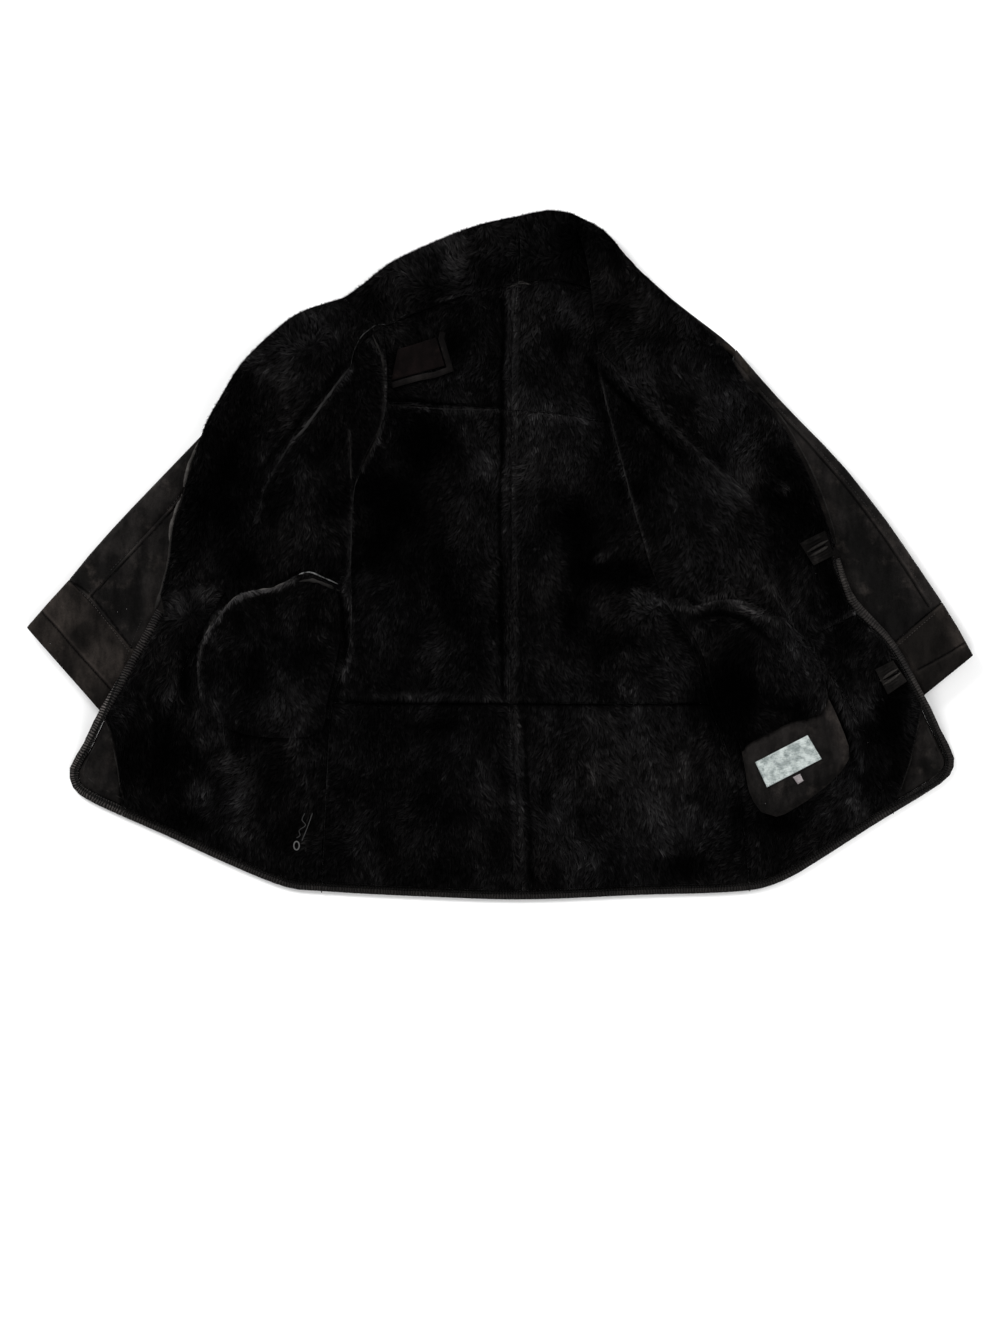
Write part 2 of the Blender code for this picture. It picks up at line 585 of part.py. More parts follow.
def make_cuff(side, material):
    """The band at the end of a sleeve, a flattened tube that is open at both ends."""
    tops, feet = evenly(stretch(f"cuff top {side}"), 3), evenly(stretch(f"cuff foot {side}"), 3)
    outside = [section_at(foot, top, 0.0, CUFF_OUTSIDE) for foot, top in zip(feet, tops)]
    inside = [section_at(foot, top, 0.0, CUFF_INSIDE) for foot, top in zip(feet, tops)]
    slices = []
    for i in range(len(CUFF_OUTSIDE)):
        outer = [section[i] for section in outside]
        inner = [section[i] for section in reversed(inside)]
        slices.append(outer + inner)
    make_loft(f"cuff_band_{side}", slices, material, is_ring=True)


def make_patch(name, material):
    """A four-cornered piece that lies on the pile."""
    stack, thickness, _ = PATCH_STACKS[name]
    corners = corners_of(name, SEAM_GAP)
    sides = [np.array([a, b]) for a, b in zip(corners, np.roll(corners, -1, axis=0))]
    loop = np.vstack([evenly(side, 3)[:-1] for side in sides])
    return make_slab(name, loop, lambda places: underside(places, stack),
                     lambda places: np.full(len(places), thickness), material)


def cut_slit(patch):
    """A buttonhole's slit through the middle of a patch, along its first side."""
    corners = np.array(PATCHES[patch.name], float)
    middle = corners.mean(0)
    along = corners[1] - corners[0]
    maker = bmesh.new()
    bmesh.ops.create_cube(maker, size=1.0)
    mesh = bpy.data.meshes.new(patch.name + "_slit")
    maker.to_mesh(mesh)
    maker.free()
    cutter = bpy.data.objects.new(mesh.name, mesh)
    cutter.scale = (SLIT[0] * MM, SLIT[1] * MM, 0.1)
    cutter.rotation_euler = (0, 0, math.atan2(along[1], along[0]))
    cutter.location = (middle[0] * MM, middle[1] * MM, 0.03)
    cutter.hide_render = True
    cutter.display_type = "WIRE"
    bpy.context.scene.collection.objects.link(cutter)
    slit = patch.modifiers.new("slit", "BOOLEAN")
    slit.operation = "DIFFERENCE"
    slit.object = cutter


def make_ring(material):
    """The small metal ring that lies in the pile of the left front."""
    middle = np.array(RING_AT, float)
    loop, _ = outline(PANELS["front_left_body"][0])
    top = float((underside(middle[None], "sleeve") + pile_height(middle[None], "front_left_body", loop))[0])
    height = top + RING_WIRE + 2 * SEAM_GAP
    slices = []
    for turn in np.arange(20) / 20 * 2 * math.pi:
        outward = np.array([math.cos(turn), math.sin(turn)])
        centre = middle + outward * (np.array(RING_SIZE) / 2 - RING_WIRE)
        slices.append([(*(centre + outward * RING_WIRE * math.cos(a)), height + RING_WIRE * math.sin(a))
                       for a in np.arange(6) / 6 * 2 * math.pi])
    make_loft("thread_ring", slices, material, is_ring=True)


def make_panels(materials):
    for name, (edges, _, stack, look) in PANELS.items():
        loop, depths = outline(edges)
        loop = inset(loop, depths)
        make_slab(name, loop, lambda places: underside(places, stack),
                  lambda places: pile_height(places, name, loop), materials[look])


def make_trimmings(materials):
    for name, words in BINDINGS.items():
        make_bead(name, words, BINDING_WIDTH, BINDING_HEIGHT, "sleeve", materials["binding"])
    for name, (_, _, look) in PATCH_STACKS.items():
        patch = make_patch(name, materials[look])
        if name.startswith("buttonhole"):
            cut_slit(patch)
    make_bead("neck_patch_rim", "neck patch rim", PATCH_RIM_WIDTH, PATCH_RIM_HEIGHT, "yoke",
              materials["patch"])
    make_ring(materials["metal"])


def main():
    clear_scene()
    materials = {name: make_material(name) for name in MATERIALS}
    for side in ("left", "right"):
        make_sleeve(side, materials["suede"])
        make_cuff(side, materials["suede"])
    make_panels(materials)
    make_trimmings(materials)


main()
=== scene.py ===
"""Looks of the sheepskin coat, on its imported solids: the hides and their combed pile, the suede sleeves, the
bound edges, the stitching, the label and the small fittings. Tables are in millimetres, meshes in metres.
"""

import math

import bmesh
import bpy
import numpy as np
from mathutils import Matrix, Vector, kdtree, noise
from mathutils.bvhtree import BVHTree


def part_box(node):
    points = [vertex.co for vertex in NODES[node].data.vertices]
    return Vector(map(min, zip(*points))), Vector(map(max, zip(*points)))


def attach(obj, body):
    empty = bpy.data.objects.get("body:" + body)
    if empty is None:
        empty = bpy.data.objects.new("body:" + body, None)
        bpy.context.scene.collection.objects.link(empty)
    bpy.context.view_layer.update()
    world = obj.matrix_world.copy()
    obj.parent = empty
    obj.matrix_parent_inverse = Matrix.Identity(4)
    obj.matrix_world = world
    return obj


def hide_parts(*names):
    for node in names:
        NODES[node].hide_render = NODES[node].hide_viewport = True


MM = 0.001
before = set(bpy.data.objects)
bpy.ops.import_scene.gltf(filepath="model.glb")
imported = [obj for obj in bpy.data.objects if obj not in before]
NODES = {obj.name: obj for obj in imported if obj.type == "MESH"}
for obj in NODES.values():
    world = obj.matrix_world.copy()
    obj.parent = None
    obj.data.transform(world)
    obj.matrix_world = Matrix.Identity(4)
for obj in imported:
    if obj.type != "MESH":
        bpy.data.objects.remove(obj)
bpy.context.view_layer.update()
DICE = np.random.default_rng(11)
DOWN, UP = Vector((0, 0, -1)), Vector((0, 0, 1))

# ---- Sizes ----

HIDE_STEP = 8.0 * MM  # longest step of a hide's surface
SUEDE_STEP = 10.0 * MM  # of a suede panel's outer face
INNER_STEP = 32.0 * MM  # and of its other faces
SEAM_STEP = 2.8 * MM  # and beside a seam of the suede
BINDING_STEP = 3.0 * MM
UNDERFUR = 0.58  # height of the hide and its underfur, as a share of the whole pile's
TUFT_STEP = 1.87 * MM  # distance between two tufts of the pile
TUFT_WIDTH = 0.78 * MM  # half a tuft's width at its root
LOCK_STEP = 5.5 * MM  # distance between two locks, in which tufts hang together
LOCK_HOLD = 0.45  # how far the tufts of a lock share one tip
COVER_GAP = 0.5 * MM
EDGE_REACH = 5.0 * MM  # how far from an edge the pile starts to lean over it
ROW = 0.87  # distance of two rows of tufts or locks, as a share of that of two in a row
LEAN = (0.95, 0.45)  # how far the pile leans outwards at a ragged edge, and at another
RISE = 0.72  # how steeply the pile stands in the mean, in radians
RISE_LIMITS = (0.18, 1.35)
LONG = 0.95  # a tuft's mean length, as a share of the pile's
HUDDLE = 0.25  # how near to each other the tips of a lock would come
LOWEST_TIP = 0.8 * MM
RAGGED_REACH = 16.0 * MM  # how far from the ragged line the pile counts as ragged
PLAIN_OVERHANG = 0.8 * MM  # how far the tips go over an edge that isn't ragged
# Spread of the tufts, each as a share or in radians.
LOCK_TURN, LOCK_TONE, LOCK_RISE = 0.22, 0.33, 0.16
TUFT_TURN, TUFT_RISE, TUFT_LONG, TUFT_WIDE, TUFT_TONE = 0.16, 0.10, 0.13, 0.22, 0.38
MEAN_LIGHT, DARK = 0.33, 0.09  # of the pile, and below which it only nears black
THINNEST_HIDE = 1.4 * MM
RIM_WIDTH = 8.0 * MM  # how far from its rim a hide comes down to its full depth
LINE_SMOOTHING = 3  # points on either side over which a line laid on the coat is smoothed
SEAM_REACH = 5.5 * MM  # how far from a suede seam its surface is finer
GROOVE_WIDTH = 0.9 * MM
LIP_AWAY, LIP_WIDTH = 3.2 * MM, 1.5 * MM
BARE_MARGIN = 1.5 * MM
HIDE_TOP, SUEDE_TOP, BINDING_TOP = 0.25, 0.3, 0.2  # how upright a normal of the upper face is
SLANTING = 0.32  # a panel that fills less of its box than this slants in it
TRIM_STEP, THREAD_STEP = 3 * MM, 2 * MM
WELT_SWAY, WELT_SWAY_LENGTH = 0.9 * MM, 14
BINDING_SEAM = 0.66  # where its sewn line is, as a share of the binding's width
LABEL_INSET = 0.075
RIB_OFFSETS, RIB_TRIM = (-12.5, -8.5, 8.0, 12.0), 3.0  # across from the slit, and how much shorter, in millimetres
LIP_OFFSETS, LIP_BULGE = (-3.3, 3.3), 1.15

# Fur pieces: the length of the pile in millimetres.
FUR = {
    "back_yoke_left": 9.5, "back_yoke_right": 9.5, "back_middle_left": 9.5, "back_middle_right": 9.5,
    "back_lower_left": 10.0, "back_lower_right": 10.0, "collar_left": 13.0, "collar_right": 13.0,
    "front_left_edge": 11.0, "front_left_body": 10.5, "front_right_edge_upper": 11.0,
    "front_right_edge_lower": 10.5, "front_right_body": 10.5, "pocket_bag_left": 8.0,
    "pocket_bag_right_fur": 8.5,
}
SUEDE_PANELS = ["corner_facing_left", "corner_facing_right", "pocket_bag_right_suede"]
SLEEVES = ["sleeve_left_under", "sleeve_left_upper", "sleeve_right_under", "sleeve_right_upper"]
CUFFS = ["cuff_band_left", "cuff_band_right"]
BINDINGS = ["front_binding_left", "front_binding_right", "hem_binding_left", "hem_binding_back",
            "hem_binding_right"]
BINDING_WIDTH = 13.0
WRINKLED = {"front_binding_left": 1.0, "front_binding_right": 0.15, "hem_binding_left": 0.5,
            "hem_binding_back": 0.35, "hem_binding_right": 0.35}

# Where the coat's outer edge is ragged pile; elsewhere the pile stops short of the edge.
RAGGED = [(-390, 166), (-367, 209), (-343, 253), (-301, 295), (-266, 322), (-207, 342), (-156, 388), (-27, 439),
    (64, 458), (96, 454), (128, 438)]
RAGGED_OVERHANG = 1.6 * MM  # how far the tips go over it
# Where bare suede shows beside the pile: the edge and the width of the strip.
BARE = [
    ([(200, 366), (239, 331), (295, 286)], 2.0),
    ([(295, 286), (314, 270), (332, 235)], 9.0),
    ([(332, 235), (378, 180), (407, 126), (434, 66), (450, 9)], 3.0),
    ([(-395, 162), (-414, 122), (-422, 76), (-434, 43), (-443, -9)], 3.0),
]

# Folds and ridges of the hides: points, height and half width. A negative height is a trough.
FOLDS = [
    ([(23, 358), (19, 279), (17, 196)], 2.0, 5.0),
    ([(16, 180), (16, -7), (15, -180)], 1.5, 5.0),
    ([(15, -209), (21, -326), (29, -446)], 2.0, 6.0),
    ([(-201, 168), (-198, 112), (-196, 86)], 3.0, 4.0),
    ([(-418, -55), (-430, -113), (-439, -180), (-436, -246)], 4.0, 9.0),
    ([(-400, -140), (-410, -193), (-412, -273)], -3.0, 7.0),
    ([(-392, -7), (-404, -60), (-399, -113)], -3.0, 8.0),
    ([(-379, -246), (-346, -313), (-317, -392)], 2.5, 14.0),
    ([(-466, -126), (-479, -193), (-476, -273)], 2.0, 12.0),
    ([(-326, 73), (-314, 20), (-298, -27)], 3.0, 10.0),
    ([(253, 153), (295, 100), (322, 47)], 2.5, 12.0),
    ([(266, -126), (287, -193), (303, -246)], -2.5, 9.0),
    ([(469, -219), (476, -273), (459, -326)], 3.5, 9.0),
    ([(378, -78), (406, -120), (430, -150), (450, -193), (468, -239)], 3.0, 6.0),
    ([(492, -180), (511, -233), (511, -286)], -3.0, 10.0),
    ([(434, -97), (452, -84), (471, -76)], 3.5, 5.0),
    ([(346, -379), (399, -363), (450, -334)], 2.5, 9.0),
    ([(80, -113), (146, -133), (186, -180)], 1.5, 18.0),
    ([(-133, 47), (-80, -7), (-40, -73)], 1.5, 22.0),
    ([(-66, 313), (-80, 259), (-64, 209)], 1.5, 14.0),
    ([(133, 419), (186, 339), (253, 273)], 2.0, 14.0),
    ([(120, -239), (130, -279), (113, -319)], 2.0, 6.0),
    ([(206, -73), (229, -126), (253, -193)], 2.0, 12.0),
]
# Lumps of the hides: width, height and seed.
LUMPS = [(62.0, 1.6, 3.7), (27.0, 1.3, 9.1), (12.0, 0.6, 5.3)]

# Painted sheen and shade of the pile, which also lies flatter where it is painted light and stands where it is painted
# dark: middle, half width and half length, turn in degrees, and how much.
SHEEN_AND_LIE = [
    ((-47, 239), 32, 40, 0, 0.5), ((-66, 279), 20, 20, 0, -0.6), ((-40, 225), 16, 14, 0, -0.5),
    ((53, 342), 50, 24, 0, 0.35), ((166, 319), 26, 22, 0, -0.6), ((80, 279), 14, 18, 0, -0.3),
    ((63, 156), 38, 56, 10, 1.5), ((96, 113), 22, 34, 20, 0.7), ((-29, 137), 14, 56, 35, 1.1),
    ((-24, 31), 30, 44, 0, 1.0), ((-29, -40), 24, 26, 0, 0.35), ((-100, 153), 48, 40, 0, -0.85),
    ((-136, 73), 55, 60, 0, -0.85), ((109, 33), 44, 36, 0, -0.7), ((141, -17), 46, 24, 0, -0.95),
    ((136, -1), 15, 6, 30, 2.2), ((-133, -13), 60, 30, 0, -0.5), ((-93, -133), 38, 26, 0, 0.4),
    ((69, -142), 26, 32, 0, 0.8), ((60, -47), 22, 36, 0, 0.4), ((93, -89), 18, 32, 0, -0.7),
    ((-40, -293), 38, 60, 0, 0.55), ((-93, -227), 40, 14, 0, -0.7), ((-66, -346), 30, 22, 0, -0.5),
    ((-133, -366), 40, 50, 0, 0.2), ((133, -222), 54, 36, 0, 0.7), ((125, -275), 8, 24, -12, 1.2),
    ((88, -307), 12, 26, -40, 1.0), ((106, -299), 7, 20, -30, -1.0), ((61, -322), 12, 16, 0, -0.9),
    ((148, -309), 16, 10, 20, -0.9), ((106, -342), 14, 8, 0, -0.8), ((80, -382), 40, 36, 0, 0.7),
    ((189, -306), 52, 60, 0, 0.85), ((229, -253), 16, 9, 0, -0.6), ((253, -315), 13, 13, 0, -0.8),
    ((279, -334), 10, 13, 0, -0.8), ((239, -368), 40, 40, 0, 0.5), ((239, -414), 34, 16, 0, -0.6),
    ((319, -332), 12, 70, 0, -0.7), ((255, 246), 32, 22, -30, 0.8), ((200, 289), 26, 16, 0, -0.5),
    ((306, 206), 30, 40, 30, 0.5), ((327, 140), 28, 30, 0, 1.1), ((335, 105), 22, 14, 0, 0.6),
    ((253, 164), 14, 26, 30, -0.6), ((295, 126), 12, 20, 35, -0.6), ((386, 66), 42, 56, 20, -1.2),
    ((372, 90), 8, 8, 0, 2.0), ((273, 73), 60, 44, -40, 0.6), ((173, 84), 30, 20, 0, -0.6),
    ((189, -60), 26, 18, 0, 1.0), ((219, -126), 34, 50, 20, 0.8), ((173, -113), 18, 16, 0, -0.8),
    ((180, -169), 32, 18, 0, 0.5), ((295, -173), 34, 70, -15, -1.2), ((375, -126), 30, 36, 30, 0.9),
    ((386, -196), 40, 14, 0, -0.5), ((511, -200), 24, 80, -15, -1.2), ((479, -180), 8, 46, 20, 0.9),
    ((540, -219), 7, 26, -10, 1.3), ((466, -286), 18, 34, 0, 0.7), ((428, -346), 24, 12, 30, 0.7),
    ((372, -355), 34, 12, 0, -0.6), ((459, -113), 26, 18, -40, -0.8), ((517, -113), 10, 26, 20, 1.2),
    ((439, -36), 16, 34, 20, -0.8), ((362, -47), 8, 30, 30, 1.0), ((-317, 253), 16, 22, 45, 1.0),
    ((-218, 299), 16, 12, 0, 1.0), ((-226, 331), 32, 12, 20, 0.6), ((-279, 299), 26, 16, 30, -0.5),
    ((-263, 226), 32, 28, 0, 0.6), ((-356, 153), 30, 64, -20, -0.7), ((-370, 66), 36, 60, -10, -0.9),
    ((-144, 243), 18, 14, 0, 0.9), ((-239, 146), 26, 44, -20, -0.6), ((-253, 16), 50, 26, 0, 0.6),
    ((-346, -7), 50, 26, 0, -0.6), ((-395, -55), 12, 12, 0, 2.2), ((-428, -65), 10, 14, 0, 1.2),
    ((-374, -82), 6, 6, 0, 7.0), ((-344, -56), 4, 4, 0, 5.0), ((-306, -45), 4, 3, 0, 4.0),
    ((-466, -226), 36, 76, 0, -1.0), ((-418, -156), 7, 38, 0, -1.0), ((-438, -180), 8, 20, -20, 1.3),
    ((-239, -105), 12, 12, 0, 1.3), ((-277, -196), 24, 40, 0, 0.9), ((-279, -245), 12, 9, 0, 1.4),
    ((-332, -140), 40, 60, 0, -0.4), ((-362, -273), 18, 10, 10, 1.5), ((-399, -310), 18, 20, 0, 1.2),
    ((-342, -315), 20, 20, 0, 0.8), ((-306, -299), 14, 50, -15, -0.8), ((-253, -266), 18, 30, 0, 0.6),
    ((-346, -368), 44, 16, -25, 0.5), ((-399, -355), 34, 12, -25, -0.6), ((133, 392), 20, 36, 30, 0.6),
    ((80, 419), 60, 16, 0, -0.3), ((20, 412), 8, 34, 0, 0.6),
    ((133, -299), 90, 80, 0, 0.55), ((239, -326), 60, 60, 0, 0.5), ((186, 233), 60, 60, -45, 0.45),
    ((306, 113), 60, 80, 35, 0.35), ((-359, 100), 50, 110, -20, 0.3), ((-439, -180), 50, 90, 0, 0.35),
    ((459, -193), 50, 90, -10, 0.45), ((133, 406), 60, 30, -30, -0.7), ((-466, -113), 40, 50, 0, 0.4),
    ((-332, -326), 60, 40, 0, 0.4), ((206, -313), 70, 70, 0, 0.4), ((266, -7), 50, 40, 0, 0.3),
    ((359, -7), 60, 50, 0, 0.3), ((426, -313), 40, 40, 0, 0.4), ((532, -273), 30, 50, 0, 0.3),
]
# Lines of the pile that catch the light or lie in shade: points, half width and how much.
STROKES = [
    ([(21, 358), (20, 279), (20, 196)], 4.0, 2.0), ([(20, 190), (19, 73), (20, -7), (20, -193)], 4.0, 1.3),
    ([(20, -203), (24, -326), (32, -446)], 4.0, 1.5), ([(12, 358), (11, 279), (11, 196)], 2.5, 1.5),
    ([(11, 190), (9, 73), (11, -7), (11, -193)], 2.5, 0.9), ([(11, -203), (15, -326), (23, -446)], 2.5, 1.0),
    ([(4, 339), (3, 180), (0, -7), (3, -193)], 3.0, -1.2),
    ([(33, -219), (36, -326), (43, -432)], 3.0, -0.9), ([(-156, 201), (-80, 194), (17, 192), (133, 178)], 4.5, 0.9),
    ([(-154, 209), (-80, 203), (7, 201)], 3.0, -0.8),
    ([(-206, -193), (-106, -196), (13, -197), (266, -197)], 3.0, -1.0),
    ([(-206, -185), (-106, -186), (7, -189)], 4.5, 1.0),
    ([(130, 273), (193, 206), (253, 146), (299, 100), (342, 60)], 8.0, 0.9),
    ([(120, 257), (180, 193), (239, 132)], 4.0, -0.8),
    ([(133, 243), (145, 188), (166, 109), (189, 33), (200, -7)], 3.0, 1.4),
    ([(378, -78), (406, -120), (430, -150), (450, -193), (468, -239), (481, -279)], 5.0, 1.3),
    ([(366, -93), (399, -140), (428, -193), (436, -233)], 6.0, 0.6),
    ([(442, -180), (460, -233), (473, -273)], 4.0, -1.2),
    ([(213, -60), (253, -70), (299, -61), (335, -76), (370, -89)], 3.5, 2.4),
    ([(253, -80), (319, -84), (359, -113)], 4.0, -1.0),
    ([(-198, 251), (-233, 203), (-259, 166), (-279, 144), (-311, 89), (-322, 47)], 3.5, 1.7),
    ([(-215, 251), (-249, 203), (-279, 158), (-317, 113)], 5.0, -0.7),
    ([(-206, -47), (-196, -80), (-198, -120), (-211, -164)], 4.0, 2.2),
    ([(-201, 166), (-198, 73), (-200, -7), (-206, -47)], 2.5, 1.3),
    ([(-197, 86), (-200, 33), (-200, -33)], 3.0, 0.8),
    ([(-172, 286), (-156, 257), (-154, 219), (-154, 190), (-162, 160), (-185, 113)], 3.0, 2.4),
    ([(-286, 53), (-287, 13), (-277, -17)], 4.0, 1.2),
    ([(-392, -113), (-380, -89), (-364, -70), (-346, -55), (-322, -48), (-299, -44), (-269, -32)], 3.0, 9.5),
    ([(-394, -120), (-400, -146), (-396, -186)], 3.0, 2.4), ([(-213, -47), (-206, -113), (-218, -193)], 3.0, -0.8),
    ([(434, -97), (452, -84), (471, -76)], 4.0, 2.2), ([(-80, 339), (-29, 351), (13, 358)], 3.5, 1.3),
    ([(-452, -126), (-468, -180), (-466, -246)], 4.0, 0.6), ([(-383, -193), (-364, -246), (-356, -286)], 4.0, 0.8),
    ([(-266, -273), (-253, -326), (-258, -392)], 4.0, 0.8), ([(-226, -273), (-231, -326), (-245, -406)], 3.0, 0.7),
    ([(386, -7), (399, -60), (419, -100)], 5.0, 0.8), ([(446, -359), (466, -326), (481, -299)], 4.0, 1.0),
    ([(160, 406), (186, 359), (239, 315), (286, 279)], 6.0, 0.7),
]
# The pile combed another way than down: middle, reach and direction in degrees.
COMBED = [
    ((-29, 133), 34, -52), ((64, 156), 40, -93), ((-392, -60), 26, 60), ((-428, -70), 20, 115),
    ((253, 100), 60, -50), ((200, 206), 50, -48), ((326, 140), 34, -140), ((-200, -86), 22, -110),
    ((293, -60), 40, 80), ((193, -60), 24, 120), ((120, -279), 26, -60), ((80, -313), 22, -130),
    ((-359, 273), 50, 150), ((-266, 299), 40, 120), ((-93, 406), 70, 110), ((53, 432), 50, 95),
    ((-359, -279), 30, -160), ((479, -193), 30, -65), ((426, -113), 30, -30), ((-319, 113), 40, -110),
]

# Seams that show between the hides as thin lines: points, width, how deep they are sunk in the pile, and finish.
WELTS = [
    ([(17, 355), (17, 279), (17, 196)], 3.2, 1.6, "light_welt"), ([(24, 352), (24, 273), (23, 200)], 1.6, 1.6, "welt"),
    ([(16, 188), (15, 73), (16, -7), (15, -193)], 2.6, 1.6, "welt"),
    ([(23, 166), (21, 47), (24, -60)], 1.5, 1.6, "welt"),
    ([(15, -203), (20, -326), (29, -443)], 3.0, 1.6, "welt"), ([(21, -213), (27, -326), (36, -432)], 1.5, 1.6, "welt"),
    ([(-152, 200), (-80, 194), (13, 192)], 1.4, 1.6, "welt"), ([(24, 192), (80, 185), (144, 177)], 1.6, 1.6, "welt"),
    ([(-206, -196), (-106, -197), (11, -197)], 1.6, 1.6, "welt"),
    ([(24, -197), (133, -197), (266, -197)], 1.6, 1.6, "welt"),
    ([(-198, 251), (-233, 203), (-259, 166), (-279, 144), (-311, 89)], 3.2, 1.0, "light_welt"),
    ([(133, 273), (193, 206), (253, 146), (299, 100), (340, 65)], 2.6, 1.6, "welt"),
    ([(132, 243), (145, 188), (166, 109), (184, 41)], 2.0, 1.0, "light_welt"),
    ([(-184, 113), (-194, 86), (-198, 20), (-200, -60)], 2.0, 1.6, "light_welt"),
    ([(340, 65), (362, -7), (378, -76)], 2.0, 1.6, "welt"),
]
# Cut edges and folded edges of light suede lying on the fur: name, points, width, height, how deep it is sunk in
# the pile, how uneven it is, and finish. The finishes are one suede, painted lit where an edge faces the light,
# painted in shade where it faces away, and with a painted highlight on the pocket's top lip.
RIMS = [
    ("front_rim_left", [(-400, 148), (-408, 129), (-414, 113), (-422, 76), (-434, 43), (-438, 13)], 5.4, 3.4, 0.6, 0.4,
         "rim"),
    ("front_roll_left", [(-434, 33), (-438, -5), (-446, -40), (-458, -76)], 7.0, 5.0, 0.6, 0.4, "shaded_rim"),
    ("pocket_rim_left", [(-392, -113), (-380, -89), (-364, -70), (-346, -55), (-322, -48), (-299, -44), (-271, -31)],
         2.2, 2.0, 1.8, 0.9, "rim"),
    ("pocket_side_left", [(-394, -120), (-400, -146), (-398, -180)], 2.4, 2.0, 0.6, 0.9, "shaded_rim"),
    ("front_rim_right", [(338, 225), (378, 174), (404, 129), (424, 86), (438, 47), (448, 9)], 3.6, 2.6, 0.6, 0.4,
         "shaded_rim"),
    ("body_edge_left", [(-169, 291), (-156, 259), (-154, 219), (-156, 190), (-164, 157), (-185, 113)], 2.6, 2.0, 0.6,
         0.4, "shaded_rim"),
    ("body_fold_left", [(-201, 166), (-198, 137), (-198, 113), (-196, 89)], 2.0, 1.6, 0.6, 0.4, "shaded_rim"),
    ("facing_edge_left", [(-528, -210), (-519, -230), (-513, -255), (-509, -279), (-505, -303), (-500, -326)], 2.6,
         2.2, 0.6, 0.4, "shaded_rim"),
    ("facing_edge_right", [(560, -190), (555, -215), (549, -249), (543, -281), (533, -309), (525, -327)], 2.6, 2.2,
         0.6, 0.4, "shaded_rim"),
    ("facing_seam_left", [(-521, -214), (-531, -243), (-547, -270), (-553, -287), (-541, -302), (-516, -317),
         (-500, -325)], 1.8, 1.4, 0.6, 0.4, "shaded_rim"),
    ("facing_seam_right", [(555, -196), (560, -215), (573, -243), (587, -270), (588, -282), (577, -295), (556, -311),
         (535, -323)], 1.8, 1.4, 0.6, 0.4, "shaded_rim"),
    ("shoulder_strip", [(293, 282), (305, 273), (319, 258), (334, 233)], 8.0, 3.0, 0.6, 0.4, "shoulder"),
    ("neck_cut_edge", [(12, 356), (27, 362), (41, 359)], 4.5, 3.0, 0.6, 0.4, "rim"),
    ("top_lip_left", [(-271, -31), (-261, -25), (-250, -24), (-233, -31), (-215, -39)], 2.4, 4.4, 0.6, 0.4,
         "highlit_rim"),
    ("pocket_fold_left", [(-266, -36), (-245, -35), (-213, -48)], 4.0, 3.0, 0.6, 0.9, "shaded_rim"),
]
# Where two bindings meet: across the band, from its outer edge inwards.
JOINTS = [
    ((-505, -346), (-499, -331)), ((-237, -449), (-237, -434)), ((332, -447), (331, -432)), ((523, -344), (516, -331)),
]
THREADS = [
    ("sewing_thread_neck", [(-198, 251), (-194, 270), (-184, 289), (-173, 299), (-164, 305), (-152, 306)], 0.9),
    ("sewing_thread_short", [(-133, 315), (-125, 319)], 0.8),
    ("ring_thread_wavy", [(-259, -343), (-263, -352), (-258, -359), (-267, -366), (-265, -372), (-270, -376)], 0.8),
    ("ring_thread_straight", [(-249, -343), (-255, -360), (-263, -380)], 0.8),
]

# Seams of the suede: points, and the side on which its raised lip lies, 1 for left of its way.
SUEDE_SEAMS = [
    ([(-423, 73), (-444, 47), (-495, -7), (-541, -55)], -1), ([(-571, -35), (-541, -56), (-488, -124)], -1),
    ([(342, 213), (407, 148), (473, 70), (529, -8), (568, -69)], 1), ([(585, -64), (555, -89), (523, -117)], 1),
    ([(-608, -76), (-589, -96), (-561, -129), (-515, -180)], 1), ([(617, -116), (588, -134), (553, -153)], 1),
]
STITCH_ROWS = [
    ([(-575, -39), (-545, -60), (-492, -128)], 4.2, "stitch_light"),
    ([(589, -68), (559, -93), (527, -121)], 4.2, "stitch_light"),
    ([(348, 214), (412, 150), (479, 73), (535, -5), (572, -65)], 4.6, "stitch_dark"),
    ([(-426, 77), (-448, 51), (-499, -3), (-544, -49)], 4.6, "stitch_dark"),
]
# Soft folds of the suede, as of the hides.
SUEDE_FOLDS = [
    ([(-466, 13), (-477, -40), (-481, -86)], -3.0, 6.0), ([(-455, -7), (-464, -60), (-471, -113)], 2.0, 6.0),
    ([(-505, 33), (-525, -7), (-532, -40)], 1.5, 9.0),
    ([(-610, -78), (-589, -100), (-561, -133), (-517, -180)], -1.6, 3.5),
    ([(616, -120), (585, -140), (556, -157)], -1.4, 3.5), ([(485, 47), (489, -7), (508, -60)], -2.5, 9.0),
    ([(455, 73), (466, 13), (481, -47)], 2.0, 9.0), ([(532, -47), (539, -73), (532, -113)], 1.5, 8.0),
    ([(572, -86), (585, -113), (583, -146)], -1.5, 8.0), ([(-572, -60), (-577, -93), (-565, -120)], 1.5, 9.0),
    ([(-521, -279), (-516, -302), (-505, -319)], 1.2, 6.0), ([(580, -253), (572, -286), (556, -313)], -1.5, 7.0),
]
